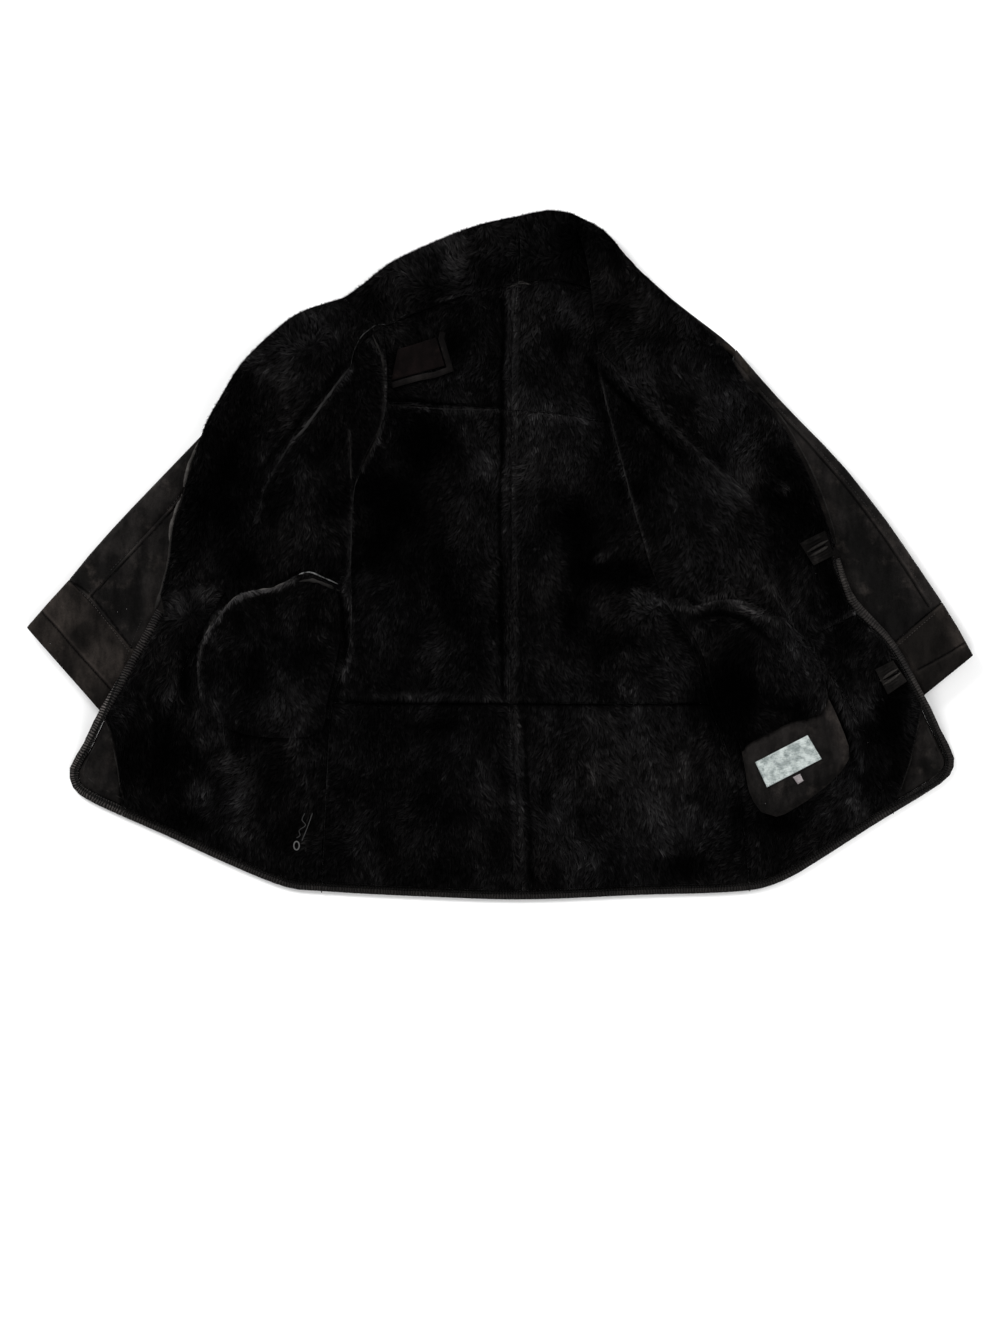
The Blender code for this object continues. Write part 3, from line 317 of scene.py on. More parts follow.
# Where the suede is worn light or dark, and where light and shade are painted on its folds and cuffs; columns as for
# the pile's painted sheen and shade.
WEAR_LIGHT_AND_SHADE = [
    ((-585, -73), 16, 30, 45, 1.0), ((-552, -102), 26, 18, 45, -0.9), ((-519, -150), 14, 30, 45, 0.5),
    ((-539, -60), 10, 20, 45, 0.4), ((-539, -7), 26, 40, 40, 0.3), ((-463, -60), 9, 60, -8, 0.5),
    ((-479, -47), 8, 50, -8, -0.8), ((-521, -86), 20, 26, 30, -0.2), ((-505, -133), 16, 20, 40, 0.2),
    ((450, -243), 7, 36, 15, 1.5), ((450, -219), 6, 20, 15, 0.8), ((359, -334), 40, 12, -20, -0.4),
    ((321, 253), 9, 24, 40, 1.2), ((492, -7), 12, 60, 25, -0.5), ((539, 0), 20, 60, 30, 0.5),
    ((572, -120), 44, 40, 0, -1.6), ((605, -113), 12, 24, 20, 0.9), ((499, -47), 18, 26, 30, -0.4),
    ((-525, -279), 8, 26, -20, 0.7), ((579, -246), 10, 26, 20, 0.6), ((569, -279), 12, 14, 0, -0.5),
]
LINT = [(-596, -118), (-507, -76), (-495, -72), (419, -207), (-221, -190), (352, -330), (418, -25), (-249, 318),
    (487, -249)]

# Buttonhole patches: their slit, and the way across it.
BUTTONHOLES = {
    "buttonhole_patch_upper": ((408, 0), (436, 16)),
    "buttonhole_patch_lower": ((505, -170), (528, -154)),
}
COAT_EDGE = [
    (-438, -5), (-483, -84), (-531, -207), (-553, -250), (-572, -283), (-568, -309), (-549, -325), (-503, -347),
    (-446, -372), (-359, -412), (-283, -442), (-237, -447),
    (-106, -454), (31, -458), (186, -452), (332, -446), (379, -432), (430, -402), (489, -364), (523, -343),
    (579, -313), (598, -294), (602, -269), (585, -231), (563, -186),
    (519, -113), (476, -73), (462, -47), (447, 11),
]
LABEL = [(338, -275), (408, -239), (427, -271), (354, -309)]

# Camera
VIEW_HEIGHT = 1.773
VIEW_CENTRE = (0.0, -0.1483)
CAMERA_DISTANCE = 6.0


# ---- Shader sums ----

class Wire:
    """A socket of a material's nodes, on which a sum is written as a sum."""

    def __init__(self, tree, socket):
        self.tree = tree
        self.socket = socket

    def node(self, kind, settings=None, output=0, **values):
        """Adds a node of a type with its settings, then the values or wires of its sockets."""
        made = self.tree.nodes.new(kind)
        for name, value in (settings or {}).items():
            setattr(made, name, value)
        for name, value in values.items():
            plug(self.tree, made, name, value)
        return Wire(self.tree, made.outputs[output])

    def maths(self, operation, *values):
        made = self.tree.nodes.new("ShaderNodeMath")
        made.operation = operation
        for k, value in enumerate(values):
            plug(self.tree, made, k, value)
        return Wire(self.tree, made.outputs[0])

    def __add__(self, other):
        return self.maths("ADD", self, other)

    __radd__ = __add__

    def __sub__(self, other):
        return self.maths("SUBTRACT", self, other)

    def __rsub__(self, other):
        return self.maths("SUBTRACT", other, self)

    def __mul__(self, other):
        return self.maths("MULTIPLY", self, other)

    __rmul__ = __mul__

    def __abs__(self):
        return self.maths("ABSOLUTE", self)

    def sine(self):
        return self.maths("SINE", self)

    def band(self, low, high, start=0.0, end=1.0):
        """start below low, end above high, and smoothly between."""
        return self.node("ShaderNodeMapRange", {"interpolation_type": "SMOOTHSTEP", "clamp": True},
                         **{"Value": self, "From Min": low, "From Max": high, "To Min": start, "To Max": end})

    def noise(self, scale, detail=3.0, roughness=0.55, stretch=None, offset=(0.0, 0.0, 0.0)):
        """Noise from 0 to 1 on these places, its scale per metre."""
        places = self
        if stretch or offset != (0.0, 0.0, 0.0):
            places = self.node("ShaderNodeMapping", None, Vector=self, Location=offset, Scale=stretch or (1, 1, 1))
        return places.node("ShaderNodeTexNoise", {"noise_dimensions": "3D"}, Vector=places, Scale=scale,
                           Detail=detail, Roughness=roughness)

    def mix(self, low, high):
        """The colour low where this is 0 and high where it is 1."""
        made = self.tree.nodes.new("ShaderNodeMix")
        made.data_type = "RGBA"
        plug(self.tree, made, 0, self)
        plug(self.tree, made, 6, low)
        plug(self.tree, made, 7, high)
        return Wire(self.tree, made.outputs[2])


def plug(tree, node, name, value):
    socket = node.inputs[name]
    if isinstance(value, Wire):
        tree.links.new(value.socket, socket)
    elif isinstance(value, (tuple, list)) and socket.type == "RGBA" and len(value) == 3:
        socket.default_value = (*value, 1.0)
    else:
        socket.default_value = value


class Finish:
    """A material under way: its places on the coat, its attributes, and what ends in its shader."""

    def __init__(self, name, roughness, specular=0.5, sheen=0.0, sheen_roughness=0.5, sheen_tint=(1, 1, 1),
                 metallic=0.0):
        self.material = bpy.data.materials.new(name)
        self.material.use_nodes = True
        self.tree = self.material.node_tree
        self.shader = self.tree.nodes["Principled BSDF"]
        for label, value in (("Roughness", roughness), ("Specular IOR Level", specular), ("Sheen Weight", sheen),
                             ("Sheen Roughness", sheen_roughness), ("Metallic", metallic)):
            self.shader.inputs[label].default_value = value
        self.shader.inputs["Sheen Tint"].default_value = (*sheen_tint, 1.0)
        source = self.tree.nodes.new("ShaderNodeTexCoord")
        self.places = Wire(self.tree, source.outputs["Object"])

    def attribute(self, name):
        made = self.tree.nodes.new("ShaderNodeAttribute")
        made.attribute_name = name
        return Wire(self.tree, made.outputs["Fac"])

    def colour(self, wire):
        self.tree.links.new(wire.socket, self.shader.inputs["Base Color"])

    def roughness(self, wire):
        self.tree.links.new(wire.socket, self.shader.inputs["Roughness"])

    def bump(self, height, distance, strength=1.0):
        bump = height.node("ShaderNodeBump", None, Height=height, Distance=distance, Strength=strength)
        self.tree.links.new(bump.socket, self.shader.inputs["Normal"])


# ---- Materials ----

def scaled(colour, amount):
    """A colour's wire made lighter or darker by a number's wire."""
    return colour.node("ShaderNodeVectorMath", {"operation": "SCALE"}, Vector=colour, Scale=amount)


def pile_finish():
    finish = Finish("pile", 0.7, 0.006)
    tone = finish.attribute("tone")
    tint = finish.places.noise(9.0, 2.0).mix((0.0120, 0.0122, 0.0132), (0.0142, 0.0130, 0.0124))
    finish.colour(scaled(tint, 0.03 + tone * (0.75 + finish.places.noise(1100.0, 1.0) * 0.5)))
    return finish.material


def underfur_finish():
    """The dense wool between the tufts, with random flecks, lighter where the pile's tone, painted sheen included, is
    lighter.
    """
    finish = Finish("underfur", 0.95, 0.0)
    fleck = finish.places.noise(650.0, 4.0, 0.7).band(0.40, 0.72)
    wool = (finish.attribute("tone") * fleck).mix((0.0002, 0.0002, 0.0003), (0.0160, 0.0158, 0.0160))
    finish.colour(wool)
    finish.bump(finish.places.noise(700.0, 3.0), 0.002)
    return finish.material


def suede_finish(name, dark, middle, wear_and_painted_light):
    """Brushed suede: mottled, lighter with wear, with a fine nap. Its seams and its wear are attributes; the wear
    attribute also carries painted light and shade, and the seams' raised lips carry a painted highlight.
    """
    finish = Finish(name, 0.85, 0.03, sheen=0.012, sheen_roughness=0.5, sheen_tint=(1.0, 0.93, 0.87))
    places = finish.places
    clouds = places.noise(15.0, 4.0, 0.6)
    wear = places.noise(38.0, 5.0, 0.65, offset=(3.0, 1.0, 0.0)).band(0.46, 0.74)
    streaks = places.noise(60.0, 4.0, 0.7, stretch=(1.0, 0.35, 1.0))
    nap = places.noise(420.0, 4.0, 0.7)
    grain = places.noise(1500.0, 2.0)
    wear_and_shading = finish.attribute("wear_and_painted_light")
    groove = finish.attribute("groove")
    lip = finish.attribute("lip")
    # Wear, with painted light and shade, lightens or darkens the suede.
    base = (clouds + wear_and_shading * 0.22).band(0.38, 0.62).mix(dark, middle)
    base = (wear * 0.6 + wear_and_shading * 0.35).band(0.0, 1.0).mix(base, wear_and_painted_light)
    shade = 0.05 + streaks.band(0.3, 0.7) * 0.55 + nap * 0.75 + grain * 0.45
    # Darker in the seams' grooves, with a painted highlight on their raised lips.
    shade = shade * (1.0 - groove * 0.88) + lip * 0.5
    finish.colour(scaled(base, shade.band(0.02, 1.9, 0.02, 1.9)))
    finish.bump(nap * 0.7 + grain * 0.4 - groove * 1.5, 0.0007)
    return finish.material


def binding_finish():
    """Bound leather, wrinkled across its length, with a sewn line along it. The wrinkles' crests are painted light and
    their gaps painted dark, and the crown carries a painted highlight that fades towards the bottom of the coat.
    """
    finish = Finish("binding_leather", 0.55, 0.07)
    along = finish.attribute("along")
    across = finish.attribute("across")
    wander = along.node("ShaderNodeCombineXYZ", None, X=along * 75.0, Y=across * 1.2, Z=0.0).noise(1.0, 3.0)
    wrinkles = (along * (2 * math.pi / 0.0037) + wander * 12.0).sine() * 0.5 + 0.5
    broad = along.node("ShaderNodeCombineXYZ", None, X=along * 22.0, Y=0.0, Z=3.0).noise(1.0, 3.0)
    grain = finish.places.noise(900.0, 3.0)
    sewn = abs(across - BINDING_SEAM).band(0.05, 0.13, 1.0, 0.0)
    crown = abs(across - 0.28).band(0.05, 0.40, 1.0, 0.0)
    light = finish.attribute("wear_and_painted_light")
    wrinkled = finish.attribute("wrinkled")
    base = broad.band(0.35, 0.65).mix((0.0052, 0.0047, 0.0046), (0.0100, 0.0089, 0.0083))
    # Painted light on the wrinkles' crests, painted dark in their gaps.
    folds = wrinkles.band(0.15, 0.95) * 4.2 + 0.15
    smooth = 0.10 + finish.places.noise(240.0, 3.0, 0.6) * 0.75
    shade = (1.0 - wrinkled) * smooth + wrinkled * folds + grain * 0.30
    # Painted highlight along the crown.
    shade = shade * (0.6 + crown * light * 2.0)
    finish.colour(scaled(base, shade * (1.0 - sewn * 0.7)))
    finish.roughness(0.42 + grain * 0.3)
    finish.bump(wrinkles * 1.2 + grain * 0.2 - sewn * 1.2, 0.0014)
    return finish.material


def label_finish(name, base_colour, crinkle_shade_colour):
    finish = Finish(name, 0.35, 0.35)
    weave = finish.places.noise(1500.0, 1.0, stretch=(0.3, 2.0, 1.0))
    # Painted shade and sheen of the satin's crinkles: dark patches on a lit colour.
    crinkle_shade = finish.places.noise(95.0, 5.0, 0.62).band(0.34, 0.62)
    rows = finish.places.noise(420.0, 2.0, 0.6, stretch=(0.5, 1.6, 1.0)).band(0.45, 0.65)
    finish.colour((crinkle_shade * 0.65 + rows * 0.22 + weave * 0.13).mix(base_colour, crinkle_shade_colour))
    finish.roughness(0.25 + finish.places.noise(160.0, 3.0) * 0.3)
    finish.bump(finish.places.noise(160.0, 4.0) + weave * 0.2, 0.0022, 1.0)
    return finish.material


def plain_finish(name, colour, roughness, metallic=0.0, scale=700.0, share=0.4, specular=0.2):
    finish = Finish(name, roughness, specular, metallic=metallic)
    spots = finish.places.noise(scale, 3.0)
    darker = tuple(part * (1 - share) for part in colour)
    finish.colour(spots.mix(darker, colour))
    finish.bump(spots, 0.0002, 0.5)
    return finish.material


# ---- Lines and fields ----

def line_points(points):
    """A smooth line through the points, in metres, a point every two millimetres or so."""
    points = np.array(points, float)
    if len(points) < 3:
        points = np.array([points[0], points.mean(0), points[-1]])
    spans = np.linalg.norm(np.diff(points, axis=0), axis=1)
    padded = np.vstack([2 * points[0] - points[1], points, 2 * points[-1] - points[-2]])
    curve = []
    for i, span in enumerate(spans):
        a, b, c, d = padded[i:i + 4]
        for t in np.linspace(0, 1, max(2, int(span / 2.5)), endpoint=False):
            curve.append(0.5 * (2 * b + (c - a) * t + (2 * a - 5 * b + 4 * c - d) * t**2
                                + (3 * b - a - 3 * c + d) * t**3))
    curve.append(points[-1])
    return np.array(curve) * MM


def runs_of(curve):
    """How far along its line each point is."""
    return np.concatenate([[0], np.cumsum(np.linalg.norm(np.diff(curve, axis=0), axis=1))])


def unit(ways):
    """The same ways, each one long."""
    return ways / np.maximum(np.linalg.norm(ways, axis=1), 1e-9)[:, None]


def even_points(curve, step):
    """The same line with points at even steps."""
    runs = runs_of(curve)
    marks = np.linspace(0, runs[-1], max(2, int(round(runs[-1] / step)) + 1))
    return np.stack([np.interp(marks, runs, curve[:, k]) for k in range(curve.shape[1])], axis=1)


def distance(places, starts, ends):
    """How far each place is from the nearest stretch, the nearest point, and that stretch's number and share."""
    best = np.full(len(places), 1e9)
    nearest = np.zeros((len(places), 2))
    number = np.zeros(len(places))
    for k, (a, b) in enumerate(zip(starts, ends)):
        run = b - a
        share = np.clip(((places - a) @ run) / max(run @ run, 1e-12), 0, 1)
        point = a + share[:, None] * run
        away = np.linalg.norm(places - point, axis=1)
        closer = away < best
        best[closer] = away[closer]
        nearest[closer] = point[closer]
        number[closer] = k + share[closer]
    return best, nearest, number


def near_line(places, curve, reach):
    """The places within reach of a line, and how far they are from it, left of its way above zero."""
    low, high = curve.min(0) - reach, curve.max(0) + reach
    near = np.flatnonzero(((places > low) & (places < high)).all(1))
    if not len(near):
        return near, np.zeros(0)
    away, nearest, number = distance(places[near], curve[:-1], curve[1:])
    ways = np.diff(curve, axis=0)[np.minimum(number.astype(int), len(curve) - 2)]
    offset = places[near] - nearest
    side = np.sign(ways[:, 0] * offset[:, 1] - ways[:, 1] * offset[:, 0])
    keep = away < reach
    return near[keep], (away * np.where(side == 0, 1, side))[keep]


def spots(places, table):
    """The sum of a table's soft ovals at the places."""
    total = np.zeros(len(places))
    for middle, half_width, half_length, turn, amount in table:
        offset = places / MM - np.array(middle)
        c, s = math.cos(math.radians(turn)), math.sin(math.radians(turn))
        u = (offset[:, 0] * c + offset[:, 1] * s) / half_width
        v = (offset[:, 1] * c - offset[:, 0] * s) / half_length
        total += amount * np.exp(-(u * u + v * v))
    return total


def lines_sum(places, table):
    """The sum of a table's soft lines at the places."""
    total = np.zeros(len(places))
    for curve, half_width, amount in table:
        near, away = near_line(places, curve, 3 * half_width * MM)
        total[near] += amount * np.exp(-(away / (half_width * MM)) ** 2)
    return total


def field(places, width, length, seed):
    return np.array([noise.noise((x / (width * MM), y / (length * MM), seed)) for x, y in places])


FOLD_LINES = [(line_points(points)[::3], width, height) for points, height, width in FOLDS]
SUEDE_FOLD_LINES = [(line_points(points)[::3], width, height) for points, height, width in SUEDE_FOLDS]
STROKE_LINES = [(line_points(points)[::2], width, amount) for points, width, amount in STROKES]
SEAM_LINES = [(line_points(points), side) for points, side in SUEDE_SEAMS]
BARE_LINES = [(line_points(points), width * MM) for points, width in BARE]
RAGGED_LINE = line_points(RAGGED)
EDGE_LINE = line_points(COAT_EDGE)


# Painted sheen and shade of the pile from both tables, which also set how flat it lies.
def sheen_and_lie(places):
    return spots(places, SHEEN_AND_LIE) + lines_sum(places, STROKE_LINES)


def lightness(places, gain):
    """How light the pile is at the places, about 0.3 in the mean: painted sheen and shade from the gain, and more
    painted sheen where the pile lies flatter.
    """
    light = MEAN_LIGHT + 0.34 * gain + 0.20 * field(places, 50, 60, 4.4)
    light = np.where(light < DARK, DARK * np.exp((light - DARK) * 4), light)
    return 0.36 * (light / MEAN_LIGHT) ** 1.3


def bare(places, more=0.0):
    """Which places are on a strip of bare suede, or a little more than that."""
    found = np.zeros(len(places), bool)
    for curve, width in BARE_LINES:
        found[near_line(places, curve, width + more)[0]] = True
    return found


# ---- Shapes ----

def copy_of(node):
    """A CAD node's mesh as a bmesh of whole faces."""
    shape = bmesh.new()
    shape.from_mesh(NODES[node].data)
    bmesh.ops.remove_doubles(shape, verts=shape.verts, dist=0.02 * MM)
    shape.normal_update()
    return shape


def halve(shape, edges):
    """Halves the edges and leaves only triangles beside them."""
    bmesh.ops.subdivide_edges(shape, edges=edges, cuts=1)
    bmesh.ops.triangulate(shape, faces=[face for face in shape.faces if len(face.verts) > 3])


def refine(shape, step, wanted):
    """Halves the wanted edges until none is longer than a step."""
    for _ in range(8):
        long = [edge for edge in shape.edges if edge.calc_length() > step and wanted(edge)]
        if not long:
            break
        halve(shape, long)


def finish_piece(name, mesh, materials, replaced=None, sharp=60):
    for material in materials:
        mesh.materials.append(material)
    mesh.shade_smooth()
    if sharp:
        mesh.set_sharp_from_angle(angle=math.radians(sharp))
    piece = bpy.data.objects.new(name, mesh)
    bpy.context.scene.collection.objects.link(piece)
    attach(piece, "root")
    if replaced:
        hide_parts(replaced)
    return piece


def make_piece(name, shape, materials, replaced=None):
    mesh = bpy.data.meshes.new(name)
    shape.to_mesh(mesh)
    shape.free()
    return finish_piece(name, mesh, materials, replaced)


def write_attribute(mesh, name, values):
    made = mesh.attributes.new(name, "FLOAT", "POINT")
    made.data.foreach_set("value", np.asarray(values, np.float32))


def points_of(mesh):
    co = np.zeros(len(mesh.vertices) * 3, np.float32)
    mesh.vertices.foreach_get("co", co)
    return co.reshape(-1, 3).astype(float)


def tree_of(names):
    """The solids of these nodes as one search tree."""
    corners, faces = [], []
    for name in names:
        thing = NODES[name]
        first = len(corners)
        corners.extend(vertex.co[:] for vertex in thing.data.vertices)
        faces.extend([first + k for k in polygon.vertices] for polygon in thing.data.polygons)
    return BVHTree.FromPolygons(corners, faces)


COAT_TOP = tree_of(NODES)


def top_at(x, y):
    """The height of the coat's top at a place."""
    hit = COAT_TOP.ray_cast(Vector((x, y, 0.2)), DOWN)[0]
    return hit.z if hit else 0.0


def on_coat(curve, sink):
    """A flat line laid on the coat, sunk into its pile a little."""
    heights = np.array([top_at(x, y) for x, y in curve])
    met = heights > 0
    marks = np.arange(len(curve))
    heights = np.interp(marks, marks[met], heights[met]) - sink
    padded = np.pad(heights, LINE_SMOOTHING, mode="edge")
    window = 2 * LINE_SMOOTHING + 1
    kernel = np.ones(window) / window
    return np.column_stack([curve, np.convolve(padded, kernel, mode="valid")])


def repeat_shape(name, shape, places, axes):
    """A small shape set at many places, in one mesh. Gives it and the height of each corner on its shape."""
    corners = np.array([vertex.co[:] for vertex in shape.verts])
    faces = np.array([[vertex.index for vertex in face.verts] for face in shape.faces])
    shape.free()
    side, other, along = axes
    count = len(places)
    spread = (places[:, None] + side[:, None] * corners[None, :, 0:1] + other[:, None] * corners[None, :, 1:2]
              + along[:, None] * corners[None, :, 2:3])
    numbers = (faces[None] + (np.arange(count) * len(corners))[:, None, None]).reshape(-1, faces.shape[1])
    mesh = bpy.data.meshes.new(name)
    mesh.vertices.add(count * len(corners))
    mesh.vertices.foreach_set("co", spread.reshape(-1).astype(np.float32))
    mesh.loops.add(numbers.size)
    mesh.loops.foreach_set("vertex_index", numbers.reshape(-1).astype(np.int32))
    mesh.polygons.add(len(numbers))
    mesh.polygons.foreach_set("loop_start", (np.arange(len(numbers)) * faces.shape[1]).astype(np.int32))
    mesh.update(calc_edges=True)
    return mesh, np.tile(corners[:, 2], count)


def make_bead(name, curve, width, height, material, taper=0.3, uneven=0.25, sides=1):
    """A rounded strip along a line, flatter than it is wide, its ends drawn in."""
    count = len(curve)
    data = bpy.data.curves.new(name, "CURVE")
    data.dimensions = "3D"
    data.bevel_depth = width * MM / 2
    data.bevel_resolution = sides
    data.use_fill_caps = True
    spline = data.splines.new("POLY")
    spline.points.add(count - 1)
    for k, (point, spot) in enumerate(zip(spline.points, curve)):
        point.co = (*spot, 1.0)
        near_end = min(1.0, taper + (1 - taper) * min(k, count - 1 - k) / 4)
        point.radius = near_end * (1 + uneven * noise.noise((spot[0] / (9 * MM), spot[1] / (9 * MM), 6.1)))
    holder = bpy.data.objects.new(name + "_line", data)
    bpy.context.scene.collection.objects.link(holder)
    mesh = bpy.data.meshes.new_from_object(holder)
    bpy.data.objects.remove(holder)
    points = points_of(mesh)
    finder = kdtree.KDTree(count)
    for k, spot in enumerate(curve):
        finder.insert(spot, k)
    finder.balance()
    middle = np.array([finder.find(point)[0].z for point in points])
    points[:, 2] = middle + (points[:, 2] - middle) * height / width
    mesh.vertices.foreach_set("co", points.reshape(-1).astype(np.float32))
    mesh.materials.clear()
    return finish_piece(name, mesh, [material])


# ---- Hides and pile ----

def make_hide(node, finishes):
    """A panel's skin with its underfur, inside its solid. Gives the piece and the outline of its top."""
    shape = copy_of(node)
    solid = BVHTree.FromBMesh(shape)
    for face in shape.faces:
        face.material_index = 0 if face.normal.z > HIDE_TOP else 1
    rim = [edge for edge in shape.edges if len({face.material_index for face in edge.link_faces}) == 2]
    starts = np.array([edge.verts[0].co.xy for edge in rim])
    ends = np.array([edge.verts[1].co.xy for edge in rim])
    refine(shape, HIDE_STEP, lambda edge: any(face.material_index == 0 for face in edge.link_faces))
    top = [vertex for vertex in shape.verts if any(face.material_index == 0 for face in vertex.link_faces)]
    inner = [vertex for vertex in top if all(face.material_index == 0 for face in vertex.link_faces)]
    for _ in range(3):
        bmesh.ops.smooth_vert(shape, verts=inner, factor=0.5, use_axis_z=True)
    places = np.array([vertex.co.xy for vertex in top])
    relief = lines_sum(places, FOLD_LINES)
    for size, height, seed in LUMPS:
        relief += height * field(places, size, size, seed)
    away = distance(places, starts, ends)[0]
    shown = bare(places, BARE_MARGIN)
    for vertex, rise, edge_distance, whole in zip(top, relief * MM, away, shown):
        below = solid.ray_cast(Vector((vertex.co.x, vertex.co.y, -0.01)), UP)[0]
        thick = vertex.co.z - below.z if below else 3 * MM
        inside = min(1.0, edge_distance / RIM_WIDTH)
        drop = thick * (UNDERFUR - 1) * (0.15 if whole else 0.3 + 0.7 * inside)
        vertex.co.z += max(drop + rise * inside, THINNEST_HIDE - thick)
    faces = [face for face in shape.faces if face.material_index == 0]
    for face, shown in zip(faces, bare(np.array([face.calc_center_median().xy for face in faces]))):
        if shown:
            face.material_index = 1
    piece = make_piece("hide_" + node, shape, [finishes["underfur"], finishes["suede"]], node)
    flat = points_of(piece.data)[:, :2]
    # The underfur's tone carries the pile's painted sheen and shade.
    write_attribute(piece.data, "tone", lightness(flat, sheen_and_lie(flat)))
    write_attribute(piece.data, "wear_and_painted_light", spots(flat, WEAR_LIGHT_AND_SHADE))
    return piece, (starts, ends)


def comb_angles(places):
    """The way that the pile lies: down the coat, swinging this way and that."""
    swing = 1.15 * field(places, 85, 120, 1.3) + 0.75 * field(places, 34, 45, 7.9)
    angles = -math.pi / 2 + 1.25 * swing
    ways = np.stack([np.cos(angles), np.sin(angles)], axis=1)
    for middle, reach, turn in COMBED:
        share = 0.9 * np.exp(-((np.linalg.norm(places / MM - np.array(middle), axis=1) / reach) ** 2))[:, None]
        ways = ways * (1 - share) + np.array([math.cos(math.radians(turn)), math.sin(math.radians(turn))]) * share
    return np.arctan2(ways[:, 1], ways[:, 0])


def pile_roots(node, hide):
    """Where the tufts of a panel grow, on what of it isn't covered."""
    tree = BVHTree.FromObject(hide, bpy.context.evaluated_depsgraph_get())
    above = tree_of([name for name in NODES if name != node])
    low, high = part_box(node)
    rows = int((high.y - low.y) / (TUFT_STEP * ROW)) + 1
    columns = int((high.x - low.x) / TUFT_STEP) + 1
    jitter = (DICE.random((rows, columns, 2)) - 0.5) * TUFT_STEP * 0.9
    roots, normals = [], []
    for row in range(rows):
        for column in range(columns):
            x = low.x + (column + 0.5 * (row % 2)) * TUFT_STEP + jitter[row, column, 0]
            y = low.y + row * TUFT_STEP * ROW + jitter[row, column, 1]
            spot, normal, number, _ = tree.ray_cast(Vector((x, y, 0.2)), DOWN)
            if spot is None or normal.z < HIDE_TOP or above.ray_cast(spot + UP * COVER_GAP, UP)[0] is not None:
                continue
            roots.append(spot)
            normals.append(normal)
    roots, normals = np.array(roots), np.array(normals)
    grown = ~bare(roots[:, :2])
    return roots[grown], normals[grown]


def find_locks(roots):
    """The lock that each tuft belongs to, and the locks' middles."""
    low, high = roots[:, :2].min(0), roots[:, :2].max(0)
    columns, rows = (((high - low) / LOCK_STEP / (1, ROW)).astype(int) + 2)
    across, down = np.meshgrid(np.arange(columns), np.arange(rows))
    middles = np.stack([across + 0.5 * (down % 2), down * ROW], axis=-1).reshape(-1, 2) * LOCK_STEP + low
    middles += (DICE.random(middles.shape) - 0.5) * LOCK_STEP * 0.8
    finder = kdtree.KDTree(len(middles))
    for k, middle in enumerate(middles):
        finder.insert((*middle, 0.0), k)
    finder.balance()
    return np.array([finder.find((x, y, 0.0))[1] for x, y, _ in roots]), middles


def draw_together(roots, tips, lock, number):
    """The tips, drawn towards the one that a lock's tufts share."""
    members = np.bincount(lock, minlength=number).clip(1)
    shared, own = (np.stack([np.bincount(lock, points[:, k], number) / members for k in range(3)], axis=1)
                   for points in (tips, roots))
    wanted = shared[lock] + (roots - own[lock]) * HUDDLE
    return tips * (1 - LOCK_HOLD) + wanted * LOCK_HOLD


def hold_back(step, outward, allowed):
    """The tufts' steps from root to tip, none further outwards than allowed."""
    out = (step[:, :2] * outward).sum(1)
    step[:, :2] *= np.where(out > allowed, allowed / np.maximum(out, 1e-9), 1.0)[:, None]
    return step


def make_tuft():
    """A thin cone one long, its root a little below the hide."""
    tuft = bmesh.new()
    bmesh.ops.create_cone(tuft, segments=3, radius1=1.0, radius2=0.0, depth=1.0, cap_ends=False)
    bmesh.ops.remove_doubles(tuft, verts=tuft.verts, dist=1e-4)
    bmesh.ops.translate(tuft, verts=tuft.verts, vec=(0, 0, 0.42))
    return tuft


